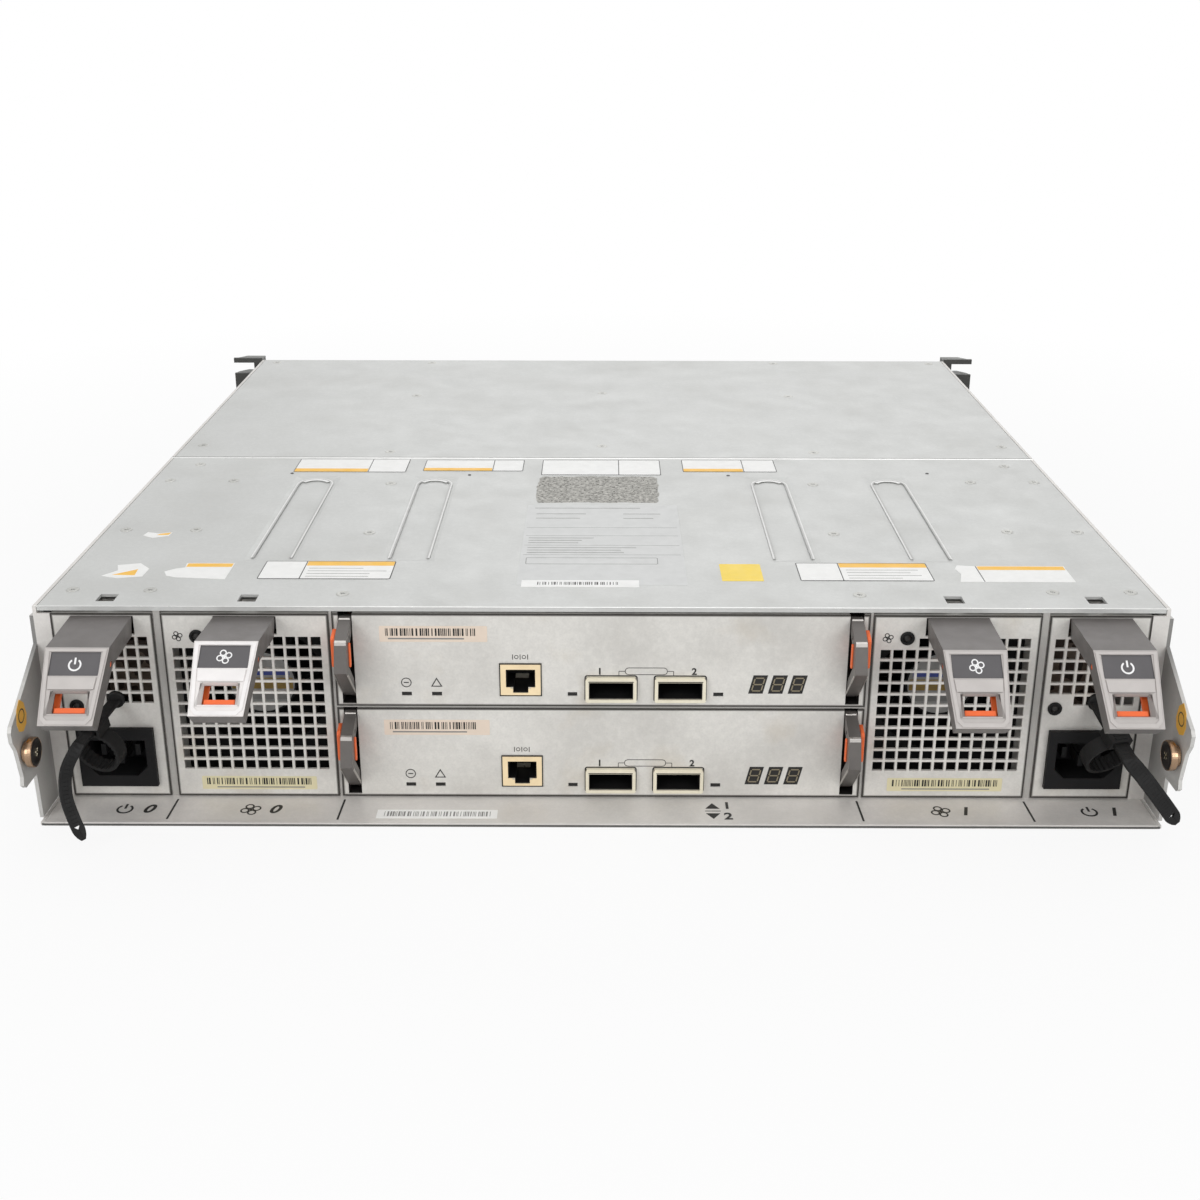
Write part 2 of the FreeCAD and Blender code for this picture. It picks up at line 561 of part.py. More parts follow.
def fan_module(index, x, lift):
    name = f"fan_{index}"
    housing = module_housing(name + "_housing", "fan_width", "fan_grille_count",
                             "fan_grille_count", "fan_grille_top", 3, 0)
    subpart(housing, x, REAR, MODULE_Z)
    pull_handle(name + "_handle", x, lift)
    handle_latch(name + "_latch", x, lift)
    fan_frame(name + "_frame", x)
    fan_rotor(name + "_rotor", x)


# ---------------------------------------------------------------------------- power module

INLET_Z = "((inlet_low + inlet_high) / 2)"


def mains_inlet(name, x):
    """Three-blade inlet: flange, body with a well that has two cut corners, and the blades."""
    half, rise = "inlet_body / 2", "inlet_rise / 2"
    body = fuse(name + "_moulding", [
        block(name + "_flange", centred("inlet_width / 2"), ("-inlet_proud", "0"),
              ("inlet_low", "inlet_high")),
        block(name + "_body", centred(half), ("0", "20"),
              (f"{INLET_Z} - {rise}", f"{INLET_Z} + {rise}"))])
    across, up = "well_width / 2", "well_height / 2"
    well = [(f"-{across}", f"{INLET_Z} + {up}"), (f"-{across}", f"{INLET_Z} - {up} + 4"),
            (f"-{across} + 4", f"{INLET_Z} - {up}"), (f"{across} - 4", f"{INLET_Z} - {up}"),
            (across, f"{INLET_Z} - {up} + 4"), (across, f"{INLET_Z} + {up}")]
    shell = cut(name + "_shell", body, [prism(name + "_well", "XZ", well, "-inlet_proud - 1",
                                              "well_depth - inlet_proud")])
    blades = []
    for number, (offset, level) in enumerate(((-7, 1), (0, -3), (7, 1))):
        blades.append(block(f"{name}_blade_{number}", (f"{offset} - 1", f"{offset} + 1"),
                            ("3.5", "well_depth"),
                            (f"{INLET_Z} + {level} - 2.4", f"{INLET_Z} + {level} + 2.4")))
    subpart(fuse(name, [shell, *blades]), x, REAR, MODULE_Z)


# Route of each cord-retainer strap from its root on the module's face: it leaves straight, so
# that the clamp can slide, then droops. About the power module's own zero.
STRAP_ROUTES = (
    ((2, -1.2, 44), (-4.5, -27, 38), (-9, -31, 29.5), (-9.5, -34, 20), (-6.5, -37, 11), (-3, -39, 3)),
    ((2, -1.2, 44), (8.5, -24, 31.5), (14.5, -25.5, 24.5), (20.5, -26.5, 17), (25.5, -27, 10.5),
     (29.5, -27.5, 5)),
)


def route_axes(route):
    """Unit vectors of the strap's straight start: along it, across it, and out of its flat."""
    start, end = (FreeCAD.Vector(*point) for point in route[:2])
    along = (end - start).normalize()
    across = along.cross(FreeCAD.Vector(0, 0, 1)).normalize()
    return start, along, across, across.cross(along)


def retainer_strap(name, x, route):
    """Flat nylon strap lofted through stations of one section, with a round root boss."""
    width, thickness = value("strap_width"), value("strap_sheet")
    points = [FreeCAD.Vector(*point) for point in route]
    across = route_axes(route)[2]
    stations = []
    for index, point in enumerate(points):
        before, after = points[max(index - 1, 0)], points[min(index + 1, len(points) - 1)]
        ahead = (after - before).normalize()
        if index == 0:
            ahead = FreeCAD.Vector(0, -1, 0)
        side = (across - ahead * across.dot(ahead)).normalize() * (width / 2)
        rise = ahead.cross(side).normalize() * (thickness / 2)
        corners = [point + side + rise, point - side + rise, point - side - rise,
                   point + side - rise]
        stations.append(Part.makePolygon(corners + corners[:1]))
    band = Part.makeLoft(stations, True, True)
    root = drum(width / 2 + 0.6, 8, 0, 1.6)
    root.translate(points[0] - FreeCAD.Vector(0, 0.4, 0))
    subpart(formed(name, band.fuse(root)), x, REAR, MODULE_Z)


def retainer_clamp(name, x, route):
    """Clamp that slides on the strap's straight part, with a ring that holds the cord's plug."""
    start, along, across, up = route_axes(route)
    length, wall, gap = value("clamp_length"), value("clamp_wall"), 0.25
    slot_half, slot_rise = value("strap_width") / 2 + gap, value("strap_sheet") / 2 + gap
    radius, ring_wall = value("ring_radius"), value("ring_wall")
    box = Part.makeBox(length, 2 * (slot_half + wall), 2 * (slot_rise + wall),
                       FreeCAD.Vector(-length / 2, -slot_half - wall, -slot_rise - wall))
    slot = Part.makeBox(length + 2, 2 * slot_half, 2 * slot_rise,
                        FreeCAD.Vector(-length / 2 - 1, -slot_half, -slot_rise))
    drop = slot_rise + wall + radius - 0.6
    ring = drum(radius, 16, 1 - length / 2, length / 2 - 1)
    hole = drum(radius - ring_wall, 16, -length, length)
    for item in (ring, hole):
        item.rotate(FreeCAD.Vector(), FreeCAD.Vector(0, 0, 1), 90)
        item.translate(FreeCAD.Vector(0, 0, -drop))
    shape = box.fuse(ring).cut([slot, hole])
    seat = start + along * value("clamp_place")
    matrix = FreeCAD.Matrix(along.x, across.x, up.x, seat.x, along.y, across.y, up.y, seat.y,
                            along.z, across.z, up.z, seat.z, 0, 0, 0, 1)
    subpart(formed(name, shape.transformed(matrix, copy=True)), x, REAR, MODULE_Z)


def power_core(name, x):
    """The supply's board with a heat sink, a transformer and a capacitor, behind the grille."""
    low = "module_skin"
    top = f"({low} + board_sheet)"
    pieces = [block(name + "_board", centred("17.5"), ("24", "module_depth - 6"), (low, top)),
              block(name + "_sink", ("-16.5", "-12.5"), ("26", "120"), (top, "66")),
              block(name + "_fins", ("-12.5", "-3"), ("30", "34"), ("30", "66")),
              block(name + "_transformer", ("-2", "15"), ("30", "62"), (top, "56")),
              stud(name + "_capacitor", "z", 10, "8", ("6", "76", top), "40")]
    subpart(fuse(name, pieces), x, REAR, MODULE_Z)


def power_module(index, x):
    name = f"power_{index}"
    housing = module_housing(name + "_housing", "power_width", "power_grille_columns",
                             "power_grille_rows", "power_grille_top", 2, 5)
    opening = rectangle(centred("inlet_body / 2 + slot_gap"),
                        (f"{INLET_Z} - inlet_rise / 2 - slot_gap",
                         f"{INLET_Z} + inlet_rise / 2 + slot_gap"))
    pocket(housing, name + "_inlet_hole", "XZ", opening, "0", "face_sheet")
    subpart(housing, x, REAR, MODULE_Z)
    pull_handle(name + "_handle", x, "0")
    handle_latch(name + "_latch", x, "0")
    mains_inlet(name + "_inlet", x)
    retainer_strap(name + "_strap", x, STRAP_ROUTES[index])
    retainer_clamp(name + "_clamp", x, STRAP_ROUTES[index])
    power_core(name + "_core", x)


# ---------------------------------------------------------------------------- expander module

# Sockets and lights on the expander's face: x span and z span.
JACK = (("-40.4", "-23.5"), ("4.7", "19"))
SERIAL = ((("-6.1", "14.3"), ("2.6", "12.7")), (("21.5", "41.9"), ("2.6", "12.7")))
LIGHTS = (("-79.6", "-75.6"), ("-67.5", "-63.5"), ("-13.2", "-9.4"), ("45", "49"))
LIGHT_Z = ("4.6", "6.3")
DISPLAY = (("58.9", "81.9"), ("6.1", "14.1"))
LEVER_X = "(channel_start + channel_width / 2)"
LATCH_PIN = ("-5.6", "32.6")


def grown(span, by):
    return (f"{span[0]} - {by}", f"{span[1]} + {by}")


def expander_shell(name, z):
    half, skin = EXPANDER_HALF, "module_skin"
    top = "expander_height"
    box = block(name + "_box", centred(half), ("0", "module_depth"), ("0", top))
    tools = [block(name + "_inside", centred(f"({half} - {skin})"),
                   (f"channel_depth + {skin}", "module_depth + 1"), (skin, f"{top} - {skin}")),
             block(name + "_front", centred(f"(channel_start - {skin})"),
                   ("face_sheet", f"channel_depth + {skin} + 1"), (skin, f"{top} - {skin}"))]
    for side, sign in (("left", -1), ("right", 1)):
        low = "channel_start" if sign > 0 else "-channel_start - channel_width"
        tools.append(block(f"{name}_channel_{side}", (low, f"{low} + channel_width"),
                           ("-1", "channel_depth"), (skin, f"{top} + 1")))
        pin_start = "channel_start - 0.8" if sign > 0 else "-channel_start - channel_width - 0.8"
        tools.append(stud(f"{name}_pin_hole_{side}", "x", 8,
                          f"lever_pin * {ROUND_HOLE} + running_gap",
                          (pin_start, "lever_pin_y", "lever_pin_z"), "channel_width + 1.6"))
    for index, (x, up) in enumerate((JACK, *SERIAL, DISPLAY, *((x, LIGHT_Z) for x in LIGHTS))):
        tools.append(block(f"{name}_hole_{index}", x, ("-1", "face_sheet + 1"), up))
    subpart(cut(name, box, tools), "0", REAR, z)


def socket(name, x, up, front, cavity_x, cavity_z, extra):
    """Metal-cased socket held between its hole's sides, with its cavity and any extra cut."""
    case = block(name + "_case", x, (front, "15.8"), grown(up, "-slot_gap"))
    holes = [block(name + "_cavity", cavity_x, (f"{front} - 1", "13"), cavity_z)]
    if extra:
        holes.append(block(name + "_notch", extra[0], (f"{front} - 1", "13"), extra[1]))
    return cut(name, case, holes)


def expander_ports(name, z):
    pieces = [socket(name + "_jack", *JACK, "-0.4", ("-37.8", "-26.1"), ("8.6", "16.4"),
                     (("-35", "-28.9"), ("6.2", "8.7")))]
    for index, (x, up) in enumerate(SERIAL):
        cage = socket(f"{name}_serial_{index}", x, up, "-1.8", grown(x, "-1.4"), grown(up, "-1.4"),
                      None)
        tongue = block(f"{name}_tongue_{index}", grown(x, "-4"), ("7.5", "13.5"),
                       (f"{up[0]} + 4.4", f"{up[0]} + 5.6"))
        pieces.append(fuse(f"{name}_serial_socket_{index}", [cage, tongue]))
    subpart(group(name, pieces), "0", REAR, z)


def expander_indicators(name, z):
    pieces = [block(name + "_display", DISPLAY[0], ("0.3", "6"),
                    grown(DISPLAY[1], "-slot_gap"))]
    for index, x in enumerate(LIGHTS):
        pieces.append(block(f"{name}_light_{index}", x, ("0.2", "5"),
                            grown(LIGHT_Z, "-slot_gap")))
    subpart(group(name, pieces), "0", REAR, z)


def expander_board(name, z):
    """The board rests on the shell's floor by a rail along each side."""
    low = "(module_skin + 1.6)"
    top = f"({low} + board_sheet)"
    half, back = f"({EXPANDER_HALF} - 6)", "module_depth - 3"
    pieces = [block(name + "_board", centred(half), ("16.2", back), (low, top)),
              block(name + "_plug", ("-60", "60"), ("module_depth - 14", back), (top, f"{top} + 9"))]
    for side, span in (("left", (f"-{half}", f"-{half} + 6")), ("right", (f"{half} - 6", half))):
        pieces.append(block(f"{name}_rail_{side}", span, ("16.2", back), ("module_skin", low)))
    subpart(fuse(name, pieces), "0", REAR, z)


def expander_lever(name, x, z):
    """Bow-shaped ejector lever, hung on a cross pin near the face's top."""
    outside = [("3.8", "38.2"), ("0.8", "38.9"), ("-12.5", "33.4"), ("-16", "21.7"),
               ("0", "5.5"), ("2.6", "3.5"), ("4.6", "4.5"), ("4.4", "7"),
               ("-9.6", "21.8"), ("-8.2", "28.6"), ("-4.4", "30.4"), ("4.4", "34.6")]
    half = f"{LEVER_WIDTH} / 2"
    lever = prism(name + "_bow", "YZ", outside, f"-{half}", half)
    pin = stud(name + "_pin", "x", PIN_SIDES, "lever_pin",
               ("-(channel_width / 2 + 0.6)", "lever_pin_y", "lever_pin_z"), "channel_width + 1.2")
    bearing = stud(name + "_bearing", "x", PIN_SIDES, f"latch_pin * {ROUND_HOLE} + running_gap",
                   ("-5", *LATCH_PIN), "10")
    holed = cut(name + "_holed", lever, [bearing])
    subpart(fuse(name, [holed, pin]), x, REAR, z)


def expander_latch(name, x, z):
    """Orange pinch latch: a cheek on each side of the lever, a web behind it and a pin."""
    cheek = [("-12", "31.4"), ("-3.2", "34"), ("-2", "30"), ("-3.5", "21.5"), ("-12", "20.5")]
    inner = f"({LEVER_WIDTH} / 2 + slot_gap)"
    outer = f"({inner} + 1.1)"
    pieces = [prism(name + "_cheek_left", "YZ", cheek, f"-{outer}", f"-{inner}"),
              prism(name + "_cheek_right", "YZ", cheek, inner, outer),
              block(name + "_web", centred(outer), ("-6.4", "-4.8"), ("22", "28")),
              stud(name + "_pin", "x", PIN_SIDES, "latch_pin", (f"-{outer}", *LATCH_PIN), f"2 * {outer}")]
    subpart(fuse(name, pieces), x, REAR, z)


def expander(letter, z):
    name = f"expander_{letter}"
    expander_shell(name + "_shell", z)
    expander_board(name + "_board", z)
    expander_ports(name + "_ports", z)
    expander_indicators(name + "_indicators", z)
    for side, x in (("left", f"-{LEVER_X}"), ("right", LEVER_X)):
        expander_lever(f"{name}_lever_{side}", x, z)
        expander_latch(f"{name}_latch_{side}", x, z)


# ---------------------------------------------------------------------------- drives

BANK_WIDTH = "(bank_size * bay_pitch + bank_gap)"
CAGE_HALF = f"(2 * {BANK_WIDTH} + 2.5 * cage_sheet)"
CAGE_LOW, CAGE_HIGH = "floor_sheet", COVER_Z


def drive_cage():
    """Floor and roof of the four banks of drives, and the five walls beside them."""
    depth = (CAGE_Y, f"{FRONT} - 1")
    inside = (f"{CAGE_LOW} + cage_sheet", f"{CAGE_HIGH} - cage_sheet")
    sheets = [block("cage_floor", centred(CAGE_HALF), depth, (CAGE_LOW, inside[0])),
              block("cage_roof", centred(CAGE_HALF), depth, (inside[1], CAGE_HIGH))]
    for wall in range(5):
        low = f"(-{CAGE_HALF} + {wall} * ({BANK_WIDTH} + cage_sheet))"
        sheets.append(block(f"cage_wall_{wall}", (low, f"{low} + cage_sheet"), depth, inside))
    subpart(group("drive_cage", sheets))


def bay_x(number):
    """The middle of a drive bay, counted from the left as seen from the rear."""
    bank, place_in_bank = divmod(number, SIZES["bank_size"])
    return (f"(-{CAGE_HALF} + cage_sheet + {bank} * ({BANK_WIDTH} + cage_sheet) + bank_gap / 2"
            f" + ({place_in_bank} + 0.5) * bay_pitch)")


def midplane():
    board = block("midplane_board", centred(f"({WALL_X} - 6)"), (MIDPLANE_Y, CAGE_Y), ("4", "82"))
    vents = []
    for index, x in enumerate((-170, -100, 70, 140)):
        vents.append(block(f"midplane_vent_{index}", (f"{x}", f"{x} + 30"),
                           (f"{MIDPLANE_Y} - 1", f"{CAGE_Y} + 1"), ("60", "76")))
    sockets = [block(f"midplane_socket_{number}", (f"{bay_x(number)} - 2.5", f"{bay_x(number)} + 2.5"),
                     (CAGE_Y, f"{CAGE_Y} + 6"), ("14", "48")) for number in range(24)]
    subpart(group("midplane", [cut("midplane_sheet", board, vents), *sockets]))


RECESS_LOW = "12"


def drive_carrier(name, number, lift):
    """Drive in its tray behind a bezel, with a recess for the lever."""
    x = bay_x(number)
    low, high = f"({CAGE_LOW} + cage_sheet + {lift})", f"({CAGE_HIGH} - cage_sheet - bezel_gap)"
    half = "bezel_width / 2"
    solid = block(name + "_solid", centred(half), (f"{CAGE_Y} + 6.4", f"{FRONT} + bezel_depth"),
                  (low, high))
    recess = block(name + "_recess", centred("drive_lever_width / 2 + 0.3"),
                   (f"{FRONT} + 3", f"{FRONT} + bezel_depth + 1"),
                   (RECESS_LOW, "14 + drive_lever_height + 2.4"))
    return place(cut(name, solid, [recess]), x)


def drive_lever(name, number, foot):
    """Lever that lies in the bezel's recess and swings out about its foot."""
    front = f"{FRONT} + bezel_depth"
    side = [(f"{front} - 5.4", foot), (f"{front} - 1.4", foot), (f"{front} - 0.5", "18"),
            (f"{front} - 0.5", "14 + drive_lever_height"), (f"{front} - 4", "14 + drive_lever_height")]
    return place(prism(name, "YZ", side, *centred("drive_lever_width / 2")), bay_x(number))


def drives():
    """The end drives are free to move; the others rest on the cage and share a node."""
    for number in (0, 23):
        subpart(drive_carrier(f"drive_{number}_carrier", number, "running_gap"), bay_x(number))
        subpart(drive_lever(f"drive_{number}_lever", number, "14"), bay_x(number))
    carriers = [drive_carrier(f"carrier_{number}", number, "0") for number in range(1, 23)]
    levers = [drive_lever(f"carrier_lever_{number}", number, RECESS_LOW) for number in range(1, 23)]
    subpart(group("drive_carriers", carriers))
    subpart(group("drive_levers", levers))


# ---------------------------------------------------------------------------- assembly

chassis_tray()
rear_cover()
front_cover()
for side, sign in (("left", -1), ("right", 1)):
    rail_bracket(side, sign)
    thumbscrew(side, sign)
    rack_ear(side, sign)
module_cage()
drive_cage()
midplane()
fan_module(0, f"-{FAN_X}", "handle_lift")
fan_module(1, FAN_X, "0")
power_module(0, f"-{POWER_X}")
power_module(1, POWER_X)
expander("a", UPPER_Z)
expander("b", MODULE_Z)
drives()

document.recompute()
failed = [item.Name for item in document.Objects if {"Invalid", "Error"} & set(item.State)]
if failed:
    raise RuntimeError("failed to build: " + ", ".join(failed))
for item in subparts:
    if item.Shape.isNull() or not item.Shape.isValid():
        raise RuntimeError("bad shape: " + item.Label)

os.makedirs("parts", exist_ok=True)
for item in subparts:
    item.Shape.exportStep(f"parts/{item.Label}.step")
print(len(subparts), "sub-parts")
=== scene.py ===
import math
import random

import bmesh
import bpy
from mathutils import Matrix, Vector


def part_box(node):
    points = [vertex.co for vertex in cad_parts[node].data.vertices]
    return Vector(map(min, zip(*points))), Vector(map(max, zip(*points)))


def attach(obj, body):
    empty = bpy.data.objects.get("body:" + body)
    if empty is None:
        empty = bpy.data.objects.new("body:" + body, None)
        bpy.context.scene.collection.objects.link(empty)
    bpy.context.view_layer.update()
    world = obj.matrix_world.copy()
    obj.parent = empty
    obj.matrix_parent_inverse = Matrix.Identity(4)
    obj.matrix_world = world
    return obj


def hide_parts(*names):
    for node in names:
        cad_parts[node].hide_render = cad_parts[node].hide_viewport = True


# Looks of a 2U disk shelf seen from its rear (-Y) and above. Places are in millimetres in the
# row frame and are worked out from the frame's boxes; pieces are scaled to metres when made.

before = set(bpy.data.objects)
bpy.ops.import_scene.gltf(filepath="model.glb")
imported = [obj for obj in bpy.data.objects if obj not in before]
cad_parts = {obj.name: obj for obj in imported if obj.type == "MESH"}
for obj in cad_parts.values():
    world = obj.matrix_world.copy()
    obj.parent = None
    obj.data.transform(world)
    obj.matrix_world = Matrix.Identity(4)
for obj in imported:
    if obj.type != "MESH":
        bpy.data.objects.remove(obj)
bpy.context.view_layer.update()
MM = 0.001


def low(node):
    return Vector(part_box(node)[0]) / MM


def high(node):
    return Vector(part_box(node)[1]) / MM


def middle_x(node):
    return (low(node).x + high(node).x) / 2


REAR = low("power_0_housing").y
FRONT = high("front_cover").y
TOP = high("front_cover").z
FLOOR = low("module_cage").z
HALF = high("chassis_tray").x
MODULE_Z = low("power_0_housing").z
SILL_REAR = low("chassis_tray").y
FANS = {"fan_0": middle_x("fan_0_housing"), "fan_1": middle_x("fan_1_housing")}
POWERS = {"power_0": middle_x("power_0_housing"), "power_1": middle_x("power_1_housing")}
EXPANDERS = {"expander_a": low("expander_a_shell").z, "expander_b": low("expander_b_shell").z}
BEZEL = high("drive_0_carrier").y


# ---------------------------------------------------------------------------- materials

def srgb(*channels):
    """Linear colour from the usual 0-255 numbers."""
    scaled = [c / 255 for c in channels]
    return tuple(c / 12.92 if c < 0.04045 else ((c + 0.055) / 1.055) ** 2.4 for c in scaled)


class Shader:
    """A node material that is put together from noises, masks and mixes."""

    def __init__(self, name, roughness=0.5, metallic=0.0, **sockets):
        self.material = bpy.data.materials.new(name)
        self.material.use_nodes = True
        self.nodes, self.links = self.material.node_tree.nodes, self.material.node_tree.links
        self.surface = self.nodes["Principled BSDF"]
        self.surface.inputs["Roughness"].default_value = roughness
        self.surface.inputs["Metallic"].default_value = metallic
        for socket, amount in sockets.items():
            self.surface.inputs[socket.replace("_", " ")].default_value = amount
        self.place = self.nodes.new("ShaderNodeTexCoord").outputs["Object"]

    def add(self, kind):
        return self.nodes.new("ShaderNode" + kind)

    def feed(self, socket, given):
        if isinstance(given, bpy.types.NodeSocket):
            self.links.new(given, socket)
        else:
            socket.default_value = given

    def calc(self, operation, a, b=0.0):
        node = self.add("Math")
        node.operation = operation
        self.feed(node.inputs[0], a)
        self.feed(node.inputs[1], b)
        return node.outputs[0]

    def product(self, first, *others):
        for other in others:
            first = self.calc("MULTIPLY", first, other)
        return first

    def within(self, value, least, most):
        """1 where a length lies between two limits in millimetres, and 0 elsewhere."""
        return self.product(self.calc("GREATER_THAN", value, least * MM),
                            self.calc("LESS_THAN", value, most * MM))

    def vector(self, operation, a, b=(0, 0, 0)):
        node = self.add("VectorMath")
        node.operation = operation
        self.feed(node.inputs[0], a)
        self.feed(node.inputs[1], b)
        return node.outputs["Value" if operation in ("DOT_PRODUCT", "LENGTH") else "Vector"]

    def along(self, axis, place=None):
        return self.vector("DOT_PRODUCT", self.place if place is None else place, axis)

    def spread(self, value, *limits):
        """Carry a value from one range, the first two limits, to another."""
        node = self.add("MapRange")
        self.links.new(value, node.inputs["Value"])
        for socket, amount in zip(("From Min", "From Max", "To Min", "To Max"), limits):
            node.inputs[socket].default_value = amount
        return node.outputs[0]

    def noise(self, size, start=0.0, end=1.0, detail=4.0):
        """Noise with features of a size in millimetres, spread between two values."""
        node = self.add("TexNoise")
        node.inputs["Scale"].default_value = 1 / (size * MM)
        node.inputs["Detail"].default_value = detail
        self.links.new(self.place, node.inputs["Vector"])
        return self.spread(node.outputs[0], 0.3, 0.7, start, end)

    def mix(self, factor, a, b):
        node = self.add("Mix")
        node.data_type = "RGBA"
        self.feed(node.inputs[0], factor)
        for socket, given in ((node.inputs[6], a), (node.inputs[7], b)):
            self.feed(socket, given if isinstance(given, bpy.types.NodeSocket) else (*given, 1))
        return node.outputs[2]

    def mottled(self, colour, amount, size):
        pale = tuple(c * (1 + amount) for c in colour)
        dark = tuple(c * (1 - amount) for c in colour)
        return self.mix(self.noise(size), dark, pale)

    def colour(self, given):
        self.feed(self.surface.inputs["Base Color"], given)
        return self

    def grain(self, size, depth):
        """Relief from a fine noise, with a depth in millimetres."""
        bump = self.add("Bump")
        bump.inputs["Strength"].default_value = 1.0
        bump.inputs["Distance"].default_value = depth * MM
        self.links.new(self.noise(size), bump.inputs["Height"])
        self.links.new(bump.outputs[0], self.surface.inputs["Normal"])
        return self

    def worn(self, size, start, end):
        """Roughness that varies between two values."""
        self.links.new(self.noise(size, start, end), self.surface.inputs["Roughness"])
        return self


def weathered(shader, colour, stain, dirt_and_gap_shade, speck=0.16):
    """Faint clouds, small specks, and stains where the sheet was handled."""
    base = shader.mottled(colour, 0.04, 24)
    specks = shader.product(shader.noise(0.9, detail=3), speck)
    base = shader.mix(specks, base, tuple(c * 0.66 for c in colour))
    pale = shader.product(shader.noise(2.6, -0.6, 1.0, detail=3), speck)
    base = shader.mix(pale, base, tuple(min(1, c * 1.25) for c in colour))
    cloud = shader.product(shader.noise(42, -0.7, 1.0, detail=9), dirt_and_gap_shade)
    return shader.mix(cloud, base, stain)


def sheet_metal(name, colour, stain, metallic=0.25, start=0.36, end=0.54, dirt_and_gap_shade=0.35, speck=0.16):
    shader = Shader(name, metallic=metallic)
    look = weathered(shader, colour, stain, dirt_and_gap_shade, speck)
    return shader.colour(look).grain(1.2, 0.01).worn(12, start, end).material


def module_metal(name, low_corner, high_corner, channel=None):
    """Face and skin of a module: painted shade darkens the face along its edges, where the gaps
    between modules are, and dirt darkens the sheet in a few clouds.

    channel is where the levers' channels start and end, out from the middle; painted shade
    darkens them."""
    shader = Shader(name, metallic=0.2)
    look = weathered(shader, srgb(216, 214, 209), srgb(168, 165, 160), 0.38, 0.24)
    brown = shader.product(shader.noise(30, -2.2, 1.0, detail=7), 0.3)
    look = shader.mix(brown, look, srgb(188, 176, 156))
    # Painted shade: the face darkens within about a millimetre of its edges, for the shade in the gaps
    # between modules.
    gaps = []
    for axis in ((1, 0, 0), (0, 0, 1)):
        along = shader.along(axis)
        start, end = Vector(axis).dot(low_corner) * MM, Vector(axis).dot(high_corner) * MM
        gaps += [shader.calc("SUBTRACT", along, start), shader.calc("SUBTRACT", end, along)]
    edge = gaps[0]
    for gap in gaps[1:]:
        edge = shader.calc("MINIMUM", edge, gap)
    depth = shader.along((0, 1, 0))
    on_face = shader.calc("LESS_THAN", depth, (REAR + 0.4) * MM)
    dirt_and_gap_shade = shader.spread(edge, 0.5 * MM, 1.1 * MM, 1.0, 0.0)
    look = shader.mix(shader.product(dirt_and_gap_shade, on_face), look, srgb(58, 55, 52))
    if channel:
        # Painted shade: inside the levers' channels, behind the face, the sheet is painted nearly black.
        across = shader.calc("ABSOLUTE", shader.along((1, 0, 0)))
        inside = shader.product(shader.within(across, channel[0] - 0.2, channel[1] + 0.2),
                                shader.within(depth, REAR + 0.6, REAR + 15))
        look = shader.mix(inside, look, srgb(40, 38, 37))
    return shader.colour(look).grain(1.2, 0.012).worn(12, 0.36, 0.52).material


def bracket_metal(name):
    """Sheet of a rail bracket, with painted shade that darkens it towards the corner of the chassis."""
    shader = Shader(name, metallic=0.25)
    look = weathered(shader, srgb(200, 199, 196), srgb(164, 162, 158), 0.35)
    depth = shader.along((0, 1, 0))
    # Painted shade: the sheet darkens towards REAR, where it leaves the corner of the chassis.
    corner = shader.product(shader.spread(depth, (REAR - 17) * MM, (REAR - 3) * MM, 0.0, 0.7),
                            shader.calc("LESS_THAN", depth, REAR * MM))
    look = shader.mix(corner, look, srgb(92, 91, 90))
    return shader.colour(look).grain(1.2, 0.01).worn(12, 0.36, 0.54).material


def moulding(name, colour, start=0.4, end=0.58, amount=0.06, shine=0.5):
    """Moulded plastic with a fine spark-eroded grain."""
    shader = Shader(name, Specular_IOR_Level=shine)
    return shader.colour(shader.mottled(colour, amount, 9)).grain(0.35, 0.012).worn(
        6, start, end).material


def bright_metal(name, colour, start=0.2, end=0.36):
    shader = Shader(name, metallic=1.0)
    return shader.colour(shader.mottled(colour, 0.06, 3)).grain(0.3, 0.004).worn(
        4, start, end).material


def printed(name, colour, amount=0.03):
    """Ink or paper of a label, a little uneven."""
    shader = Shader(name)
    return shader.colour(shader.mottled(colour, amount, 4)).grain(0.5, 0.004).worn(5, 0.35, 0.5).material


def handle_paint(name, x, lift, front):
    """Grey pull handle whose slanted front is silver, with a darker panel for its sign."""
    shader = Shader(name, metallic=0.15)
    turn = shader.add("Mapping")
    turn.inputs["Rotation"].default_value = (math.radians(lift), 0, 0)
    shader.links.new(shader.vector("SUBTRACT", shader.place, Vector((x, *PIVOT)) * MM),
                     turn.inputs["Vector"])
    local = shader.vector("SUBTRACT", turn.outputs[0], Vector((0, *ELBOW)) * MM)
    half = math.sqrt(0.5)
    proud, down = shader.along((0, -half, half), local), shader.along((0, -half, -half), local)
    across = shader.calc("ABSOLUTE", shader.along((1, 0, 0), local))
    skin = shader.calc("GREATER_THAN", proud, -0.28 * MM)
    funnel = shader.product(shader.within(down, FINGER[0] - 1.2, FINGER[1] + 1.4),
                            shader.within(across, -1, 7.6), shader.within(proud, -1.9, 1))
    silver = shader.calc("MAXIMUM", skin, funnel)
    panel = shader.product(shader.within(down, 1.5, 11.1), shader.within(across, -1, 9.5),
                           shader.within(proud, -1, -0.2))
    grey = shader.mottled(srgb(106, 102, 100), 0.05, 8)
    pale = shader.mottled(front, 0.04, 5)
    sign = shader.mottled(srgb(87, 85, 87), 0.04, 5)
    colour = shader.mix(panel, shader.mix(silver, grey, pale), sign)
    return shader.colour(colour).grain(0.35, 0.01).worn(6, 0.36, 0.5).material


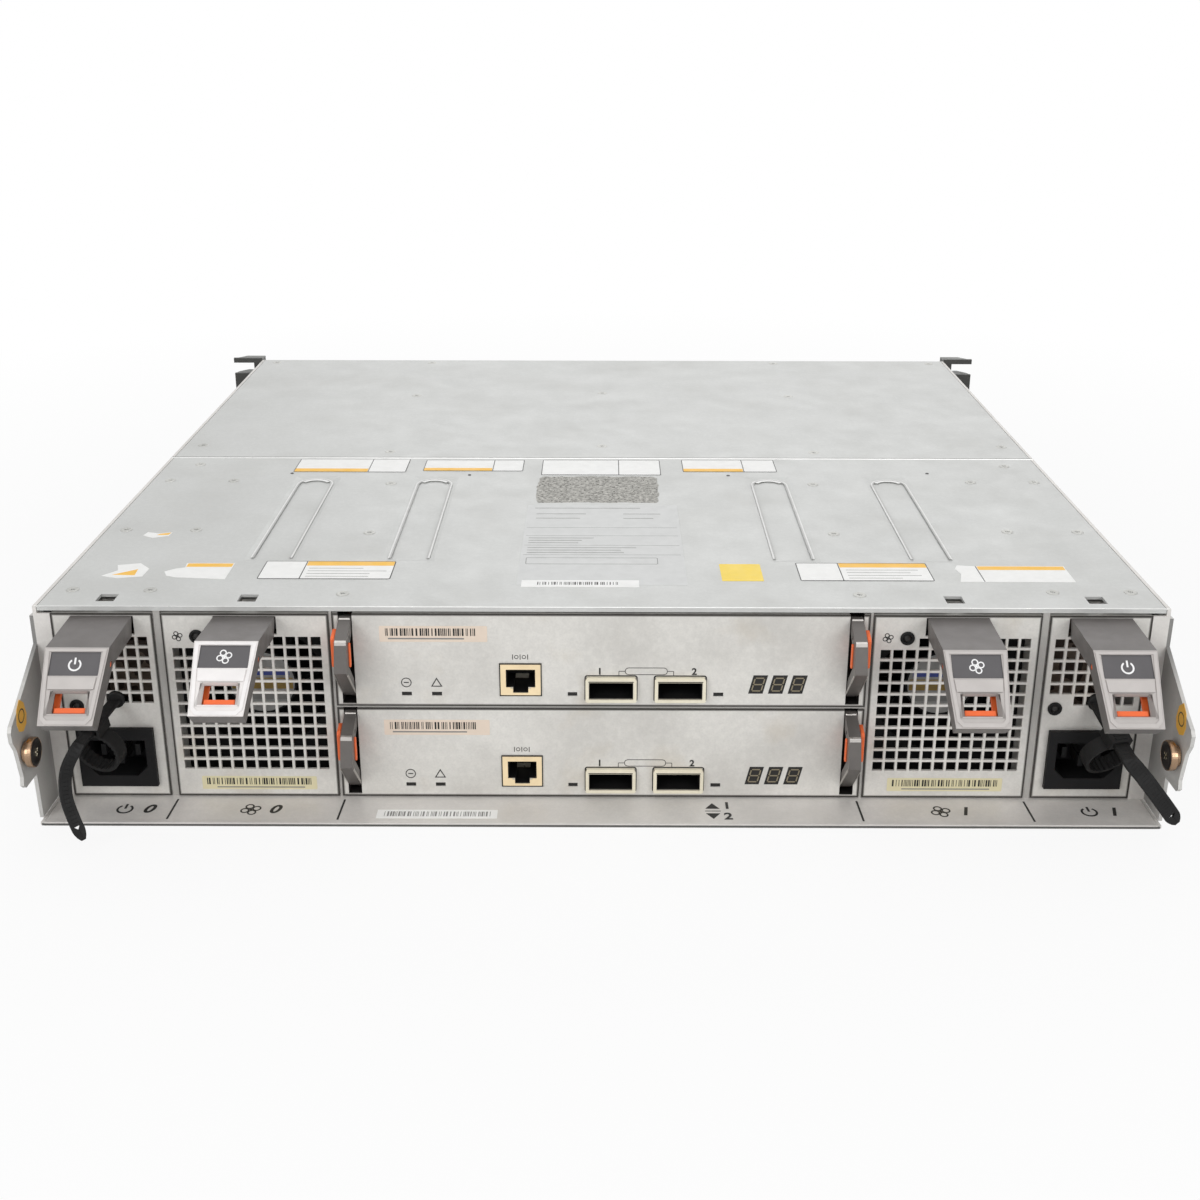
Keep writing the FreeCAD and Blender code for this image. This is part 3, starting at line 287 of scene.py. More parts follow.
def worn_patch(name):
    """Grey residue of a removed label, speckled dark and light."""
    shader = Shader(name, roughness=0.8)
    base = shader.mix(shader.noise(1.6, detail=8), srgb(128, 127, 122), srgb(206, 204, 198))
    dots = shader.calc("GREATER_THAN", shader.noise(1.1, detail=3), 0.8)
    return shader.colour(shader.mix(dots, base, srgb(70, 68, 64))).grain(0.9, 0.05).material


def circuit(name, colour, spots):
    shader = Shader(name, roughness=0.55)
    patches = shader.calc("GREATER_THAN", shader.noise(9, detail=1), 0.62)
    return shader.colour(shader.mix(patches, colour, spots)).grain(2.0, 0.1).material


# Pull handle: its elbow about the pivot and where its finger window starts and ends down the leg.
PIVOT = (REAR - 2.5, MODULE_Z + 75.7)
ELBOW = (-25.5, 3.5)
FINGER = (17.4, 25.2)
# Where the channel of an ejector lever starts and ends, out from the middle; painted shade darkens it.
SHADED_CHANNEL = (97.9, 103.4)
LIFT = {"fan_0": 6, "fan_1": 0, "power_0": 0, "power_1": 0}
MODULES = {**FANS, **POWERS}

COVER = sheet_metal("cover_sheet", srgb(199, 200, 198), srgb(176, 176, 172), dirt_and_gap_shade=0.3, speck=0.14)
TRAY = sheet_metal("tray_sheet", srgb(220, 217, 213), srgb(184, 181, 176), metallic=0.2)
CAGE = sheet_metal("cage_sheet", srgb(180, 178, 174), srgb(142, 139, 134), metallic=0.3)
BRACKET = bracket_metal("bracket_sheet")
# Painted shade: the rack ears' sheet is darker than their real grey, for the shade on their backs.
EAR = sheet_metal("ear_sheet", srgb(66, 66, 64), srgb(48, 48, 47), metallic=0.3)
TRIM = moulding("ear_trim", srgb(118, 119, 116))
RIVET = sheet_metal("rivet_steel", srgb(192, 192, 188), srgb(140, 140, 136), metallic=0.6)
# Painted shade: dark for the recesses of screw heads, tiny rivets, the gap beside the seam and the
# sill's upright face.
PAINTED_SHADE = printed("painted_shade", srgb(84, 84, 82))
# Painted shade and painted highlight for the slopes of the cover's pressed pads.
SLOPE_SHADE = printed("painted_slope_shade", srgb(182, 182, 180))
SLOPE_HIGHLIGHT = printed("painted_slope_highlight", srgb(226, 226, 224))
# Painted highlight: bright strips along the seam, the cover's near edge and the sill's rear edge.
PAINTED_HIGHLIGHT = bright_metal("painted_highlight", srgb(232, 232, 230), 0.25, 0.4)
SOCKET_RIM = sheet_metal("socket_rim", srgb(236, 229, 208), srgb(206, 196, 170), metallic=0.3)
CREAM_PLASTIC = moulding("jack_surround", srgb(238, 216, 176), 0.3, 0.45)
STEEL = sheet_metal("socket_steel", srgb(214, 208, 194), srgb(170, 160, 140), metallic=0.55,
                    start=0.24, end=0.38)
CONTACT = bright_metal("contact_metal", srgb(214, 205, 180), 0.2, 0.3)
PIN = bright_metal("pin_metal", srgb(140, 138, 132), 0.25, 0.4)
BRASS = bright_metal("screw_brass", srgb(170, 142, 116), 0.2, 0.36)
KNOB = moulding("screw_face", srgb(38, 34, 32), 0.3, 0.45)
BLACK = moulding("black_plastic", srgb(20, 20, 21), 0.5, 0.66, shine=0.22)
NYLON = moulding("strap_nylon", srgb(20, 20, 20), 0.5, 0.66, shine=0.24)
ORANGE = moulding("latch_orange", srgb(240, 108, 52), 0.38, 0.5, amount=0.04)
LEVER = sheet_metal("lever_paint", srgb(102, 98, 95), srgb(81, 78, 76), metallic=0.35, start=0.3,
                    end=0.42)
# Bright metal of the levers' pins and flanges, also used for the painted highlight on their elbows.
EDGE = bright_metal("lever_edge", srgb(190, 186, 182), 0.24, 0.36)
BEZELS = moulding("bezel_plastic", srgb(52, 53, 55))
BEZEL_LEVER = moulding("bezel_lever", srgb(78, 79, 82))
LENS = Shader("dark_lens", roughness=0.5)
LENS = LENS.colour(LENS.mottled(srgb(20, 18, 16), 0.1, 2)).material
GREEN_BOARD = circuit("green_board", srgb(36, 74, 48), srgb(58, 96, 60))
CORE = circuit("supply_parts", srgb(70, 58, 50), srgb(126, 112, 100))
PAPER = printed("white_paper", srgb(240, 240, 238))
CREAM = printed("cream_paper", srgb(214, 206, 170))
PINKISH = printed("aged_paper", srgb(222, 206, 190))
SILVER_PAPER = printed("silver_paper", srgb(206, 207, 206))
YELLOW = printed("yellow_ink", srgb(246, 190, 58))
LEMON = printed("yellow_sticker", srgb(246, 214, 70))
AMBER = printed("amber_sticker", srgb(248, 190, 74))
INK = printed("black_ink", srgb(22, 21, 20), 0.1)
GREY_INK = printed("grey_ink", srgb(128, 128, 126))
WHITE_INK = printed("white_ink", srgb(238, 238, 238))
SEGMENT = printed("unlit_segment", srgb(132, 122, 100))
# Painted shade: the hub label's paper and yellow ink are darkened, for the shade behind the grille.
SHADED_HUB_PAPER = printed("hub_paper_painted_shade", srgb(150, 150, 148), 0.12)
SHADED_YELLOW_INK = printed("yellow_ink_painted_shade", srgb(142, 116, 52), 0.15)
BLUE_INK = printed("blue_ink", srgb(60, 74, 150))
PATCH = worn_patch("label_residue")

CAD_FINISH = {
    "chassis_tray": TRAY, "rear_cover": COVER, "front_cover": COVER, "module_cage": CAGE,
    "drive_cage": CAGE, "midplane": GREEN_BOARD, "rail_bracket": BRACKET, "rack_ear": EAR,
    "_ports": STEEL, "_indicators": LENS, "_board": GREEN_BOARD, "_frame": BLACK,
    "_rotor": BLACK, "_inlet": BLACK, "_core": CORE, "_latch": ORANGE,
    "expander_a_lever": LEVER, "expander_b_lever": LEVER, "drive_carriers": BEZELS,
    "drive_levers": BEZEL_LEVER, "_carrier": BEZELS, "drive_0_lever": BEZEL_LEVER,
    "drive_23_lever": BEZEL_LEVER, "_strap": NYLON, "_clamp": NYLON, "thumbscrew": BRASS,
}
SOFT_EDGES = {"_handle": 0.7, "_lever_left": 0.6, "_lever_right": 0.6, "_latch": 0.25,
              "_inlet": 0.5, "rear_cover": 0.35, "front_cover": 0.3, "rail_bracket": 0.3,
              "rack_ear": 0.4, "carrier": 0.4, "drive_levers": 0.4, "_ports": 0.15,
              "chassis_tray": 0.3}


def first_match(table, node):
    return next((value for part, value in table.items() if part in node), None)


def soften(item, width):
    """Round the edges of an object by a width in millimetres, or leave them at none."""
    if width:
        bevel = item.modifiers.new("soft_edges", "BEVEL")
        bevel.width, bevel.segments, bevel.limit_method = width * MM, 2, "ANGLE"


for node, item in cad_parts.items():
    finish = first_match(CAD_FINISH, node)
    if node.endswith(("_housing", "_shell")):
        finish = module_metal(node + "_sheet", low(node), high(node),
                              SHADED_CHANNEL if node.endswith("_shell") else None)
    if node.endswith("_handle"):
        module = node.removesuffix("_handle")
        front = srgb(226, 222, 220) if module == "fan_0" else srgb(180, 175, 172)
        finish = handle_paint(node + "_paint", MODULES[module], LIFT[module], front)
    item.data.materials.clear()
    item.data.materials.append(finish)
    soften(item, first_match(SOFT_EDGES, node))


# ---------------------------------------------------------------------------- making pieces

class Surface:
    """A flat place on the object: a point, a direction across, one up, and so one outwards."""

    def __init__(self, origin, across, up):
        self.origin, self.across, self.up = Vector(origin), Vector(across), Vector(up)
        self.out = self.across.cross(self.up)

    def at(self, u, v, w=0.0):
        return self.origin + self.across * u + self.up * v + self.out * w


def rear_face(x, z, y=REAR):
    return Surface((x, y, z), (1, 0, 0), (0, 0, 1))


def lever_side(x, z, y=REAR):
    """Upright plane along the object, seen from its right."""
    return Surface((x, y, z), (0, 1, 0), (0, 0, 1))


def wall_face(sign, x):
    """Outer face of the wall at x on the side of a sign."""
    return Surface((sign * x, 0, 0), (0, sign, 0), (0, 0, 1))


ROOF = Surface((0, REAR, TOP), (1, 0, 0), (0, 1, 0))


def arc(u, v, radius, degrees):
    return [(u + radius * math.cos(math.radians(a)), v + radius * math.sin(math.radians(a)))
            for a in degrees]


def mirrored(half):
    """Close an outline with the mirror image of its right half."""
    return half + [(-u, v) for u, v in half[::-1]]


def rectangle(u0, v0, u1, v1, radius=0.0, steps=4):
    if not radius:
        return [(u0, v0), (u1, v0), (u1, v1), (u0, v1)]
    corners = ((u1 - radius, v0 + radius, -90), (u1 - radius, v1 - radius, 0),
               (u0 + radius, v1 - radius, 90), (u0 + radius, v0 + radius, 180))
    return [point for u, v, start in corners
            for point in arc(u, v, radius, [start + 90 * step / steps for step in range(steps + 1)])]


def circle(u, v, radius, count=24):
    return arc(u, v, radius, [360 * i / count for i in range(count)])


def slab(bm, place, outline, start, end, slot=0):
    """Prism over an outline, between two heights above the surface."""
    rings = [[bm.verts.new(place.at(u, v, w)) for u, v in outline] for w in (start, end)]
    faces = [bm.faces.new(rings[0][::-1]), bm.faces.new(rings[1])]
    for i in range(len(outline)):
        j = (i + 1) % len(outline)
        faces.append(bm.faces.new((rings[0][i], rings[0][j], rings[1][j], rings[1][i])))
    for face in faces:
        face.material_index = slot


def band(bm, place, outer, inner, start, end, slot=0):
    """Prism between two outlines that have the same number of points."""
    rows = [[bm.verts.new(place.at(u, v, w)) for u, v in outline]
            for outline, w in ((outer, start), (outer, end), (inner, end), (inner, start))]
    for row, after in zip(rows, rows[1:] + rows[:1]):
        for i in range(len(outer)):
            j = (i + 1) % len(outer)
            bm.faces.new((row[i], row[j], after[j], after[i])).material_index = slot


def plate(bm, place, outline, hole, start, end, slot=0):
    """Sheet with one hole through it; its back stays open."""
    rings = [[bm.verts.new(place.at(u, v, end)) for u, v in loop] for loop in (outline, hole)]
    edges = [bm.edges.new((ring[i - 1], ring[i])) for ring in rings for i in range(len(ring))]
    filled = bmesh.ops.triangle_fill(bm, use_beauty=True, edges=edges)["geom"]
    faces = [f for f in filled if isinstance(f, bmesh.types.BMFace)]
    for ring, loop in zip(rings, (outline, hole)):
        base = [bm.verts.new(place.at(u, v, start)) for u, v in loop]
        faces += [bm.faces.new((base[i - 1], base[i], ring[i], ring[i - 1])) for i in range(len(ring))]
    for face in faces:
        face.material_index = slot


def lathe(bm, place, u, v, profile, count=24, slot=0):
    """Turned shape about the outward direction, from pairs of radius and height."""
    rows = []
    for radius, height in profile:
        around = [(u, v)] if radius == 0 else circle(u, v, radius, count)
        rows.append([bm.verts.new(place.at(a, b, height)) for a, b in around])
    for row, after in zip(rows, rows[1:]):
        for i in range(count):
            j = (i + 1) % count
            corners = [row[i % len(row)], row[j % len(row)], after[j % len(after)],
                       after[i % len(after)]]
            corners = list(dict.fromkeys(corners))
            if len(corners) > 2:
                bm.faces.new(corners).material_index = slot


def stroke(bm, place, start, end, width, height, slot=0):
    """Thin printed line between two points."""
    a, b = Vector(start), Vector(end)
    side = Vector((-(b - a).y, (b - a).x)).normalized() * width / 2
    slab(bm, place, [tuple(p) for p in (a - side, b - side, b + side, a + side)], 0, height, slot)


def bars(bm, place, u0, v0, u1, v1, seed, height, slot):
    """Plain upright bars of uneven widths that stand for a printed strip."""
    pick = random.Random(seed)
    u = u0
    while u < u1:
        width = pick.choice((0.25, 0.25, 0.45, 0.7))
        slab(bm, place, rectangle(u, v0, min(u + width, u1), v1), 0, height, slot)
        u += width + pick.choice((0.3, 0.3, 0.5, 0.9))


def figures(bm, place, text, u, v, size, height, slot, slant=0.0):
    """Plain figures, centred on a point."""
    curve = bpy.data.curves.new("figures", "FONT")
    curve.body, curve.size, curve.shear, curve.offset = text, size, slant, size * 0.032
    curve.align_x, curve.align_y = "CENTER", "CENTER"
    letters = bpy.data.objects.new("figures", curve)
    mesh = bpy.data.meshes.new_from_object(letters)
    for polygon in mesh.polygons:
        corners = [mesh.vertices[i].co for i in polygon.vertices]
        face = bm.faces.new([bm.verts.new(place.at(u + c.x, v + c.y, height)) for c in corners])
        face.material_index = slot
    bpy.data.objects.remove(letters)
    bpy.data.curves.remove(curve)


def piece(name, body, bm, materials, bevel=0.0, smooth=False, replaces=()):
    """Turn the mesh into an object in metres that rides on a body."""
    bmesh.ops.scale(bm, vec=(MM, MM, MM), verts=bm.verts)
    bmesh.ops.recalc_face_normals(bm, faces=bm.faces)
    mesh = bpy.data.meshes.new(name)
    bm.to_mesh(mesh)
    bm.free()
    for look in materials:
        mesh.materials.append(look)
    item = bpy.data.objects.new(name, mesh)
    bpy.context.scene.collection.objects.link(item)
    soften(item, bevel)
    if smooth:
        mesh.shade_smooth()
    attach(item, body)
    if replaces:
        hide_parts(*replaces)
    return item


# ---------------------------------------------------------------------------- covers

def cover_screws():
    """Flat heads in pairs about the middle; those at x 0 stand alone."""
    inner, middle, outer = 103.4, 181.4, 212.7
    rear_half = [(inner, 13.5), (inner, 84.2), (inner, 154.2), (middle, 16.8), (middle, 87.4),
                 (middle, 158), (outer, 17), (outer, 87.3), (outer, 158.2), (outer - 8, 184.4)]
    front_half = [(0, 218.4), (0, 328.7), (111, 207.6), (111, 322), (111, 405), (212, 218.4),
                  (212, 405)]
    head = [(0.95, 0.1), (1.2, 0.34), (2.1, 0.4), (2.6, 0.22), (2.7, -0.2)]
    dimple = [(0.9, 0.08), (2.0, 0.22), (2.5, 0.2), (3.2, -0.1)]
    bm = bmesh.new()
    for places, profile in ((rear_half, head), (front_half, dimple)):
        for x, y in places:
            for side in (-1, 1) if x else (1,):
                u = side * x
                lathe(bm, ROOF, u, y, profile, 20)
                # Painted shade: a dark disc in the middle of each head for its recess.
                lathe(bm, ROOF, u, y, [(0, 0.1), (profile[0][0], 0.1)], 20, 1)
                for across, up in ((0.9, 0.4), (0.4, -0.9)):
                    stroke(bm, ROOF, (u - across, y - up), (u + across, y + up), 0.35, 0.2)
    # Tiny rivets as dark dots of painted shade.
    for x, y in ((-155, 170), (-66, 168), (63, 168), (163, 172)):
        lathe(bm, ROOF, x, y, [(0, 0.05), (0.7, 0.3), (1.0, -0.1)], 12, 1)
    piece("cover_heads", "chassis", bm, [RIVET, PAINTED_SHADE])


def cover_edges():
    """Outlines where the pads are pressed in, as painted shade and painted highlight of their slopes,
    painted highlights at the pads' far ends and along the seam and the near edge of the sheet,
    and a painted shadow line beside the seam.
    """
    bm = bmesh.new()
    half, start, end = 8.2, 53.5, 161.5
    for x in (-140.5, -82, 82, 140.5):
        # Painted shade and painted highlight: a dark line inside each pad's edge and a pale line outside
        # it, for its shaded and lit slopes.
        for grow, slot in ((0.0, 0), (0.7, 1)):
            rings = [[(x + reach, start)] + arc(x, end - half, reach, range(0, 181, 12))
                     + [(x - reach, start)] for reach in (half + grow, half + grow - 0.7)]
            slab(bm, ROOF, rings[0] + rings[1][::-1], -0.1, 0.05, slot)
        # Painted highlight: a white crescent near each pad's far end.
        cap = arc(x, end - half, half - 0.6, range(30, 151, 10))
        slab(bm, ROOF, cap + arc(x, end - half, half - 2.4, range(150, 29, -10)), -0.1, 0.05, 4)
    seam = high("rear_cover").y - REAR
    # Painted highlights along the seam and the near edge, and a painted shadow line just past the seam.
    slab(bm, ROOF, rectangle(-HALF + 0.4, seam - 1.4, HALF - 0.4, seam - 0.02), -0.4, 0.06, 2)
    slab(bm, ROOF, rectangle(-HALF + 0.4, seam + 0.42, HALF - 0.4, seam + 0.9), -0.1, 0.04, 3)
    slab(bm, ROOF, rectangle(-HALF + 0.6, 0.02, HALF - 0.6, 0.5), -0.4, 0.06, 2)
    piece("cover_edges", "chassis", bm, [SLOPE_SHADE, SLOPE_HIGHLIGHT, PAINTED_HIGHLIGHT, PAINTED_SHADE, PAPER])


def cover_labels():
    """Blank labels where the cover carries them: paper, an ink outline and a coloured band."""
    paper, ink, yellow, grey, silver, lemon = range(6)
    bm = bmesh.new()
    # outlined papers: corners, where a square panel starts, and the ends of the yellow band
    for x0, y0, x1, y1, split, stripe in (
            (-155, 172.5, -98.5, 194, -117.5, (-155, 173, -117.5, 178)),
            (-90.1, 174.6, -39.7, 192.8, -55, (-90.1, 175, -55, 179.4)),
            (-30.3, 168.6, 29.6, 193.2, 8.5, None),
            (40.8, 174, 88.1, 193.8, 71.5, (40.8, 174.4, 71.5, 179)),
            (-141.4, 29.2, -86.6, 49.1, -124, (-124, 44, -86.6, 48.7)),
            (81.8, 28.6, 136.7, 48.4, 99.5, (99.5, 43.4, 136.7, 48))):
        sheet = rectangle(x0, y0, x1, y1, 0.8)
        slab(bm, ROOF, sheet, -0.1, 0.1, paper)
        edge = 0.35
        band(bm, ROOF, sheet, rectangle(x0 + edge, y0 + edge, x1 - edge, y1 - edge, 0.5), 0, 0.13,
             ink)
        stroke(bm, ROOF, (split, y0), (split, y1), 0.4, 0.13, ink)
        if stripe:
            u0, v0, u1, v1 = stripe
            slab(bm, ROOF, rectangle(u0 + 0.4, v0, u1 - 0.4, v1), 0, 0.12, yellow)
    # two labels with torn ends, and two scraps
    for torn in ([(-181.4, 37), (-179.5, 32.5), (-175.5, 30.8), (-154.3, 28.7), (-154.3, 46.5),
                  (-174.5, 46.5), (-174, 41.6), (-177.5, 40.2)],
                 [(147, 27.9), (194.1, 27.9), (194.1, 45.4), (155, 45.4), (149.5, 46.2),
                  (147.8, 42), (149.2, 36.4)],
                 [(-206, 32), (-199, 29.6), (-189, 31.5), (-188.5, 40), (-194, 46.3), (-203, 44),
                  (-201, 38)],
                 [(-203, 80), (-198, 77), (-191.5, 79.5), (-191, 84), (-197, 82.6), (-202, 84.2)]):
        slab(bm, ROOF, torn, -0.1, 0.1, paper)
    for stripe in (rectangle(-173.8, 42.2, -154.7, 46.1), rectangle(157.5, 41, 193.7, 45),
                   [(-202, 33), (-192.5, 32.6), (-193, 39.4)],
                   [(-197, 80.4), (-192, 80.6), (-191.4, 83.6), (-196, 82)]):
        slab(bm, ROOF, stripe, 0, 0.12, yellow)
    stroke(bm, ROOF, (157, 28), (157, 45.2), 0.4, 0.13, ink)
    # large silver label with a frame, and the strip on its lower edge
    slab(bm, ROOF, rectangle(-34.5, 23.5, 35.3, 122.3, 0.8), -0.1, 0.08, silver)
    for y in (91.5, 81, 69, 57.5):
        stroke(bm, ROOF, (-33.5, y), (34, y), 0.25, 0.1, grey)
    # plain lines of uneven length: where the first starts, how far they may reach, how many, gap
    for x0, y0, x1, rows, gap in ((-122, 41, -89, 4, 3), (102, 40.5, 134, 4, 3), (-31, 118, 26, 1, 3),
                                  (-30, 110, -6, 2, 6), (10, 110, 28, 2, 6), (-32, 78, -2, 3, 3),
                                  (-32, 66, 30, 3, 3)):
        pick = random.Random(int(x0 * 7 + y0))
        for row in range(rows):
            y, end = y0 - row * gap, x1 - pick.uniform(0, 0.35) * (x1 - x0)
            stroke(bm, ROOF, (x0, y), (end, y), 0.35, 0.14, grey)
    band(bm, ROOF, rectangle(-32, 46.5, 24, 54, 0.8), rectangle(-31.7, 46.8, 23.7, 53.7, 0.6), 0,
         0.11, grey)
    slab(bm, ROOF, rectangle(-32.5, 21.2, 15.5, 28.4), 0, 0.14, paper)
    bars(bm, ROOF, -26, 23.4, 7, 26.4, 5, 0.17, ink)
    slab(bm, ROOF, rectangle(49.6, 28.1, 66.7, 47, 0.6), -0.1, 0.1, lemon)
    piece("cover_labels", "chassis", bm, [PAPER, INK, YELLOW, GREY_INK, SILVER_PAPER, LEMON])

    bm = bmesh.new()
    pick = random.Random(11)
    outline = []
    for step in range(60):
        angle = 2 * math.pi * step / 60
        reach = 1 / max(abs(math.cos(angle)) / 29.5, abs(math.sin(angle)) / 20)
        reach *= 1 + pick.uniform(-0.035, 0.02)
        outline.append((-2 + reach * math.cos(angle), 146.3 + reach * math.sin(angle)))
    slab(bm, ROOF, outline, -0.1, 0.06)
    piece("label_residue", "chassis", bm, [PATCH])


# ---------------------------------------------------------------------------- rear faces

def light(bm, place, u, v, ring, lens):
    """Round bezel of a light with its dark lens."""
    lathe(bm, place, u, v, [(2.85, -0.3), (2.85, 0.5), (2.4, 0.8), (1.9, 0.75), (1.5, 0.2)], 24, ring)
    lathe(bm, place, u, v, [(1.5, 0.1), (1.1, 0.5), (0, 0.75)], 20, lens)


def fan_sign(bm, place, u, v, size, slot, height=0.06):
    """Four outlined leaves round a dot."""
    for across, up in arc(u, v, size, (20, 110, 200, 290)):
        band(bm, place, circle(across, up, size * 0.78, 16), circle(across, up, size * 0.5, 16), 0,
             height, slot)
    slab(bm, place, circle(u, v, size * 0.25, 10), 0, height, slot)


def plug_sign(bm, place, u, v, size, slot, height=0.06):
    """Ring with an upright stroke at its top."""
    outer, inner = (arc(u, v, size * part, range(-235, 56, 10)) for part in (1, 0.74))
    slab(bm, place, outer + inner[::-1], 0, height, slot)
    slab(bm, place, rectangle(u - size * 0.14, v + size * 0.1, u + size * 0.14, v + size * 1.15), 0,
         height, slot)


def fan_face(name, x):
    """Light, sign and a ruled paper on the face, and a round label on the hub behind the grille,
    its paper and yellow ink painted darker as shade.
    """
    bm = bmesh.new()
    face = rear_face(x, 0)
    left = low(name + "_housing").x - x
    light(bm, face, left + 13.6, 73.3, 0, 1)
    fan_sign(bm, face, left + 6, 73.3, 1.25, 2)
    slab(bm, face, rectangle(-23, 4.8, 24, 10.8, 0.4), -0.1, 0.1, 3)
    bars(bm, face, -21, 7, 22, 10, 31 + int(x), 0.14, 2)
    stroke(bm, face, (-17, 5.8), (19, 5.8), 0.5, 0.14, 4)
    piece(name + "_face_marks", name, bm, [BLACK, LENS, INK, CREAM, GREY_INK])
    bm = bmesh.new()
    hub = rear_face(x, 43.7, low(name + "_rotor").y)
    radius = 13.4
    slab(bm, hub, circle(0, 0, radius, 32), -0.1, 0.12, 0)
    for slot, (start, end) in enumerate(((3.2, 6.2), (-3, 2), (-8, -5)), 1):
        reach = math.sqrt((radius - 0.4) ** 2 - max(abs(start), abs(end)) ** 2)
        slab(bm, hub, rectangle(-reach, start, reach, end), 0, 0.16, slot)
    piece(name + "_hub_label", name + "_rotor", bm, [SHADED_HUB_PAPER, BLUE_INK, SHADED_YELLOW_INK, GREY_INK])


def power_face(name, x):
    """Light on the face, and the three blades in the well of the inlet."""
    bm = bmesh.new()
    light(bm, rear_face(x, 0), low(name + "_housing").x - x + 5.8, 42.6, 0, 1)
    piece(name + "_light", name, bm, [BLACK, LENS])
    bm = bmesh.new()
    well = rear_face(x, MODULE_Z + 18.2, REAR + 7)
    for u, v in ((-7, 1), (0, -3), (7, 1)):
        slab(bm, well, rectangle(u - 1.08, v - 2.5, u + 1.08, v + 2.5, 0.5), -8, 0.1)
    piece(name + "_blades", name, bm, [PIN], bevel=0.3)


def expander_marks(name, face):
    """Strip label, signs over the lights, and figures with a bracket over the two wide sockets."""
    bm = bmesh.new()
    slab(bm, face, rectangle(-87.4, 28.2, -44.8, 35, 0.4), -0.1, 0.1, 1)
    bars(bm, face, -85, 30.8, -49.5, 34, 3 if name == "expander_a" else 4, 0.14, 0)
    stroke(bm, face, (-84, 29.6), (-54, 29.6), 0.6, 0.14, 2)
    # a ring, a triangle, and two beads on a line
    band(bm, face, circle(-77.6, 10.4, 2.1), circle(-77.6, 10.4, 1.75), 0, 0.06)
    stroke(bm, face, (-78.6, 10.4), (-76.6, 10.4), 0.4, 0.06)
    band(bm, face, [(-67.8, 8.6), (-63.2, 8.6), (-65.5, 12.6)],
         [(-67.1, 9), (-63.9, 9), (-65.5, 11.8)], 0, 0.06)
    for u in (-35, -32, -29):
        stroke(bm, face, (u, 20.6), (u, 22.8), 0.3, 0.06)
    for u in (-33.5, -30.5):
        band(bm, face, circle(u, 21.7, 0.85, 14), circle(u, 21.7, 0.6, 14), 0, 0.06)
    figures(bm, face, "1", -0.4, 15.4, 4, 0.06, 0)
    figures(bm, face, "2", 37.2, 15.4, 4, 0.06, 0)
    band(bm, face, rectangle(9.6, 14, 26.6, 17.2, 1.5), rectangle(9.85, 14.25, 26.35, 16.95, 1.3),
         0, 0.06)
    for near, far in ((9.6, 7.2), (26.6, 29)):
        stroke(bm, face, (near, 15.6), (far, 15.6), 0.25, 0.06)
        stroke(bm, face, (far, 15.6), (far, 13.4), 0.25, 0.06)
    piece(name + "_face_marks", name, bm, [INK, PINKISH, GREY_INK])


def expander_digits(name, face):
    """Three slanted digits behind windows in the sheet."""
    bm = bmesh.new()
    slab(bm, face, rectangle(57.8, 5.4, 83.2, 14.7), -0.15, 0.05, 0)
    slant, pitch = 0.235, 7.9
    for number in range(3):
        def lean(u, v, number=number):
            return (58.9 + pitch * number + u + slant * v, 5.9 + v)
        segments = [(1.3, v, 4.5, v + 0.5) for v in (1.0, 3.8, 6.6)]
        segments += [(u, v, u + 0.5, v + 2.2) for u in (0.8, 4.6) for v in (1.5, 4.3)]
        slab(bm, face, [lean(*p) for p in rectangle(0, 0, 5.8, 8.1)], 0, 0.09, 1)
        for corners in segments:
            slab(bm, face, [lean(*p) for p in rectangle(*corners)], 0, 0.13, 2)
    piece(name + "_digits", name, bm, [bpy.data.materials[name + "_shell_sheet"], LENS, SEGMENT])


# The upper part of the network jack's hollow, where the wide sockets start, and all their depth.
JACK = (-37.8, 8.6, -26.1, 16.4)
WIDE_SOCKETS = (-6.1, 21.5)
SOCKET_DEPTH = 12.6


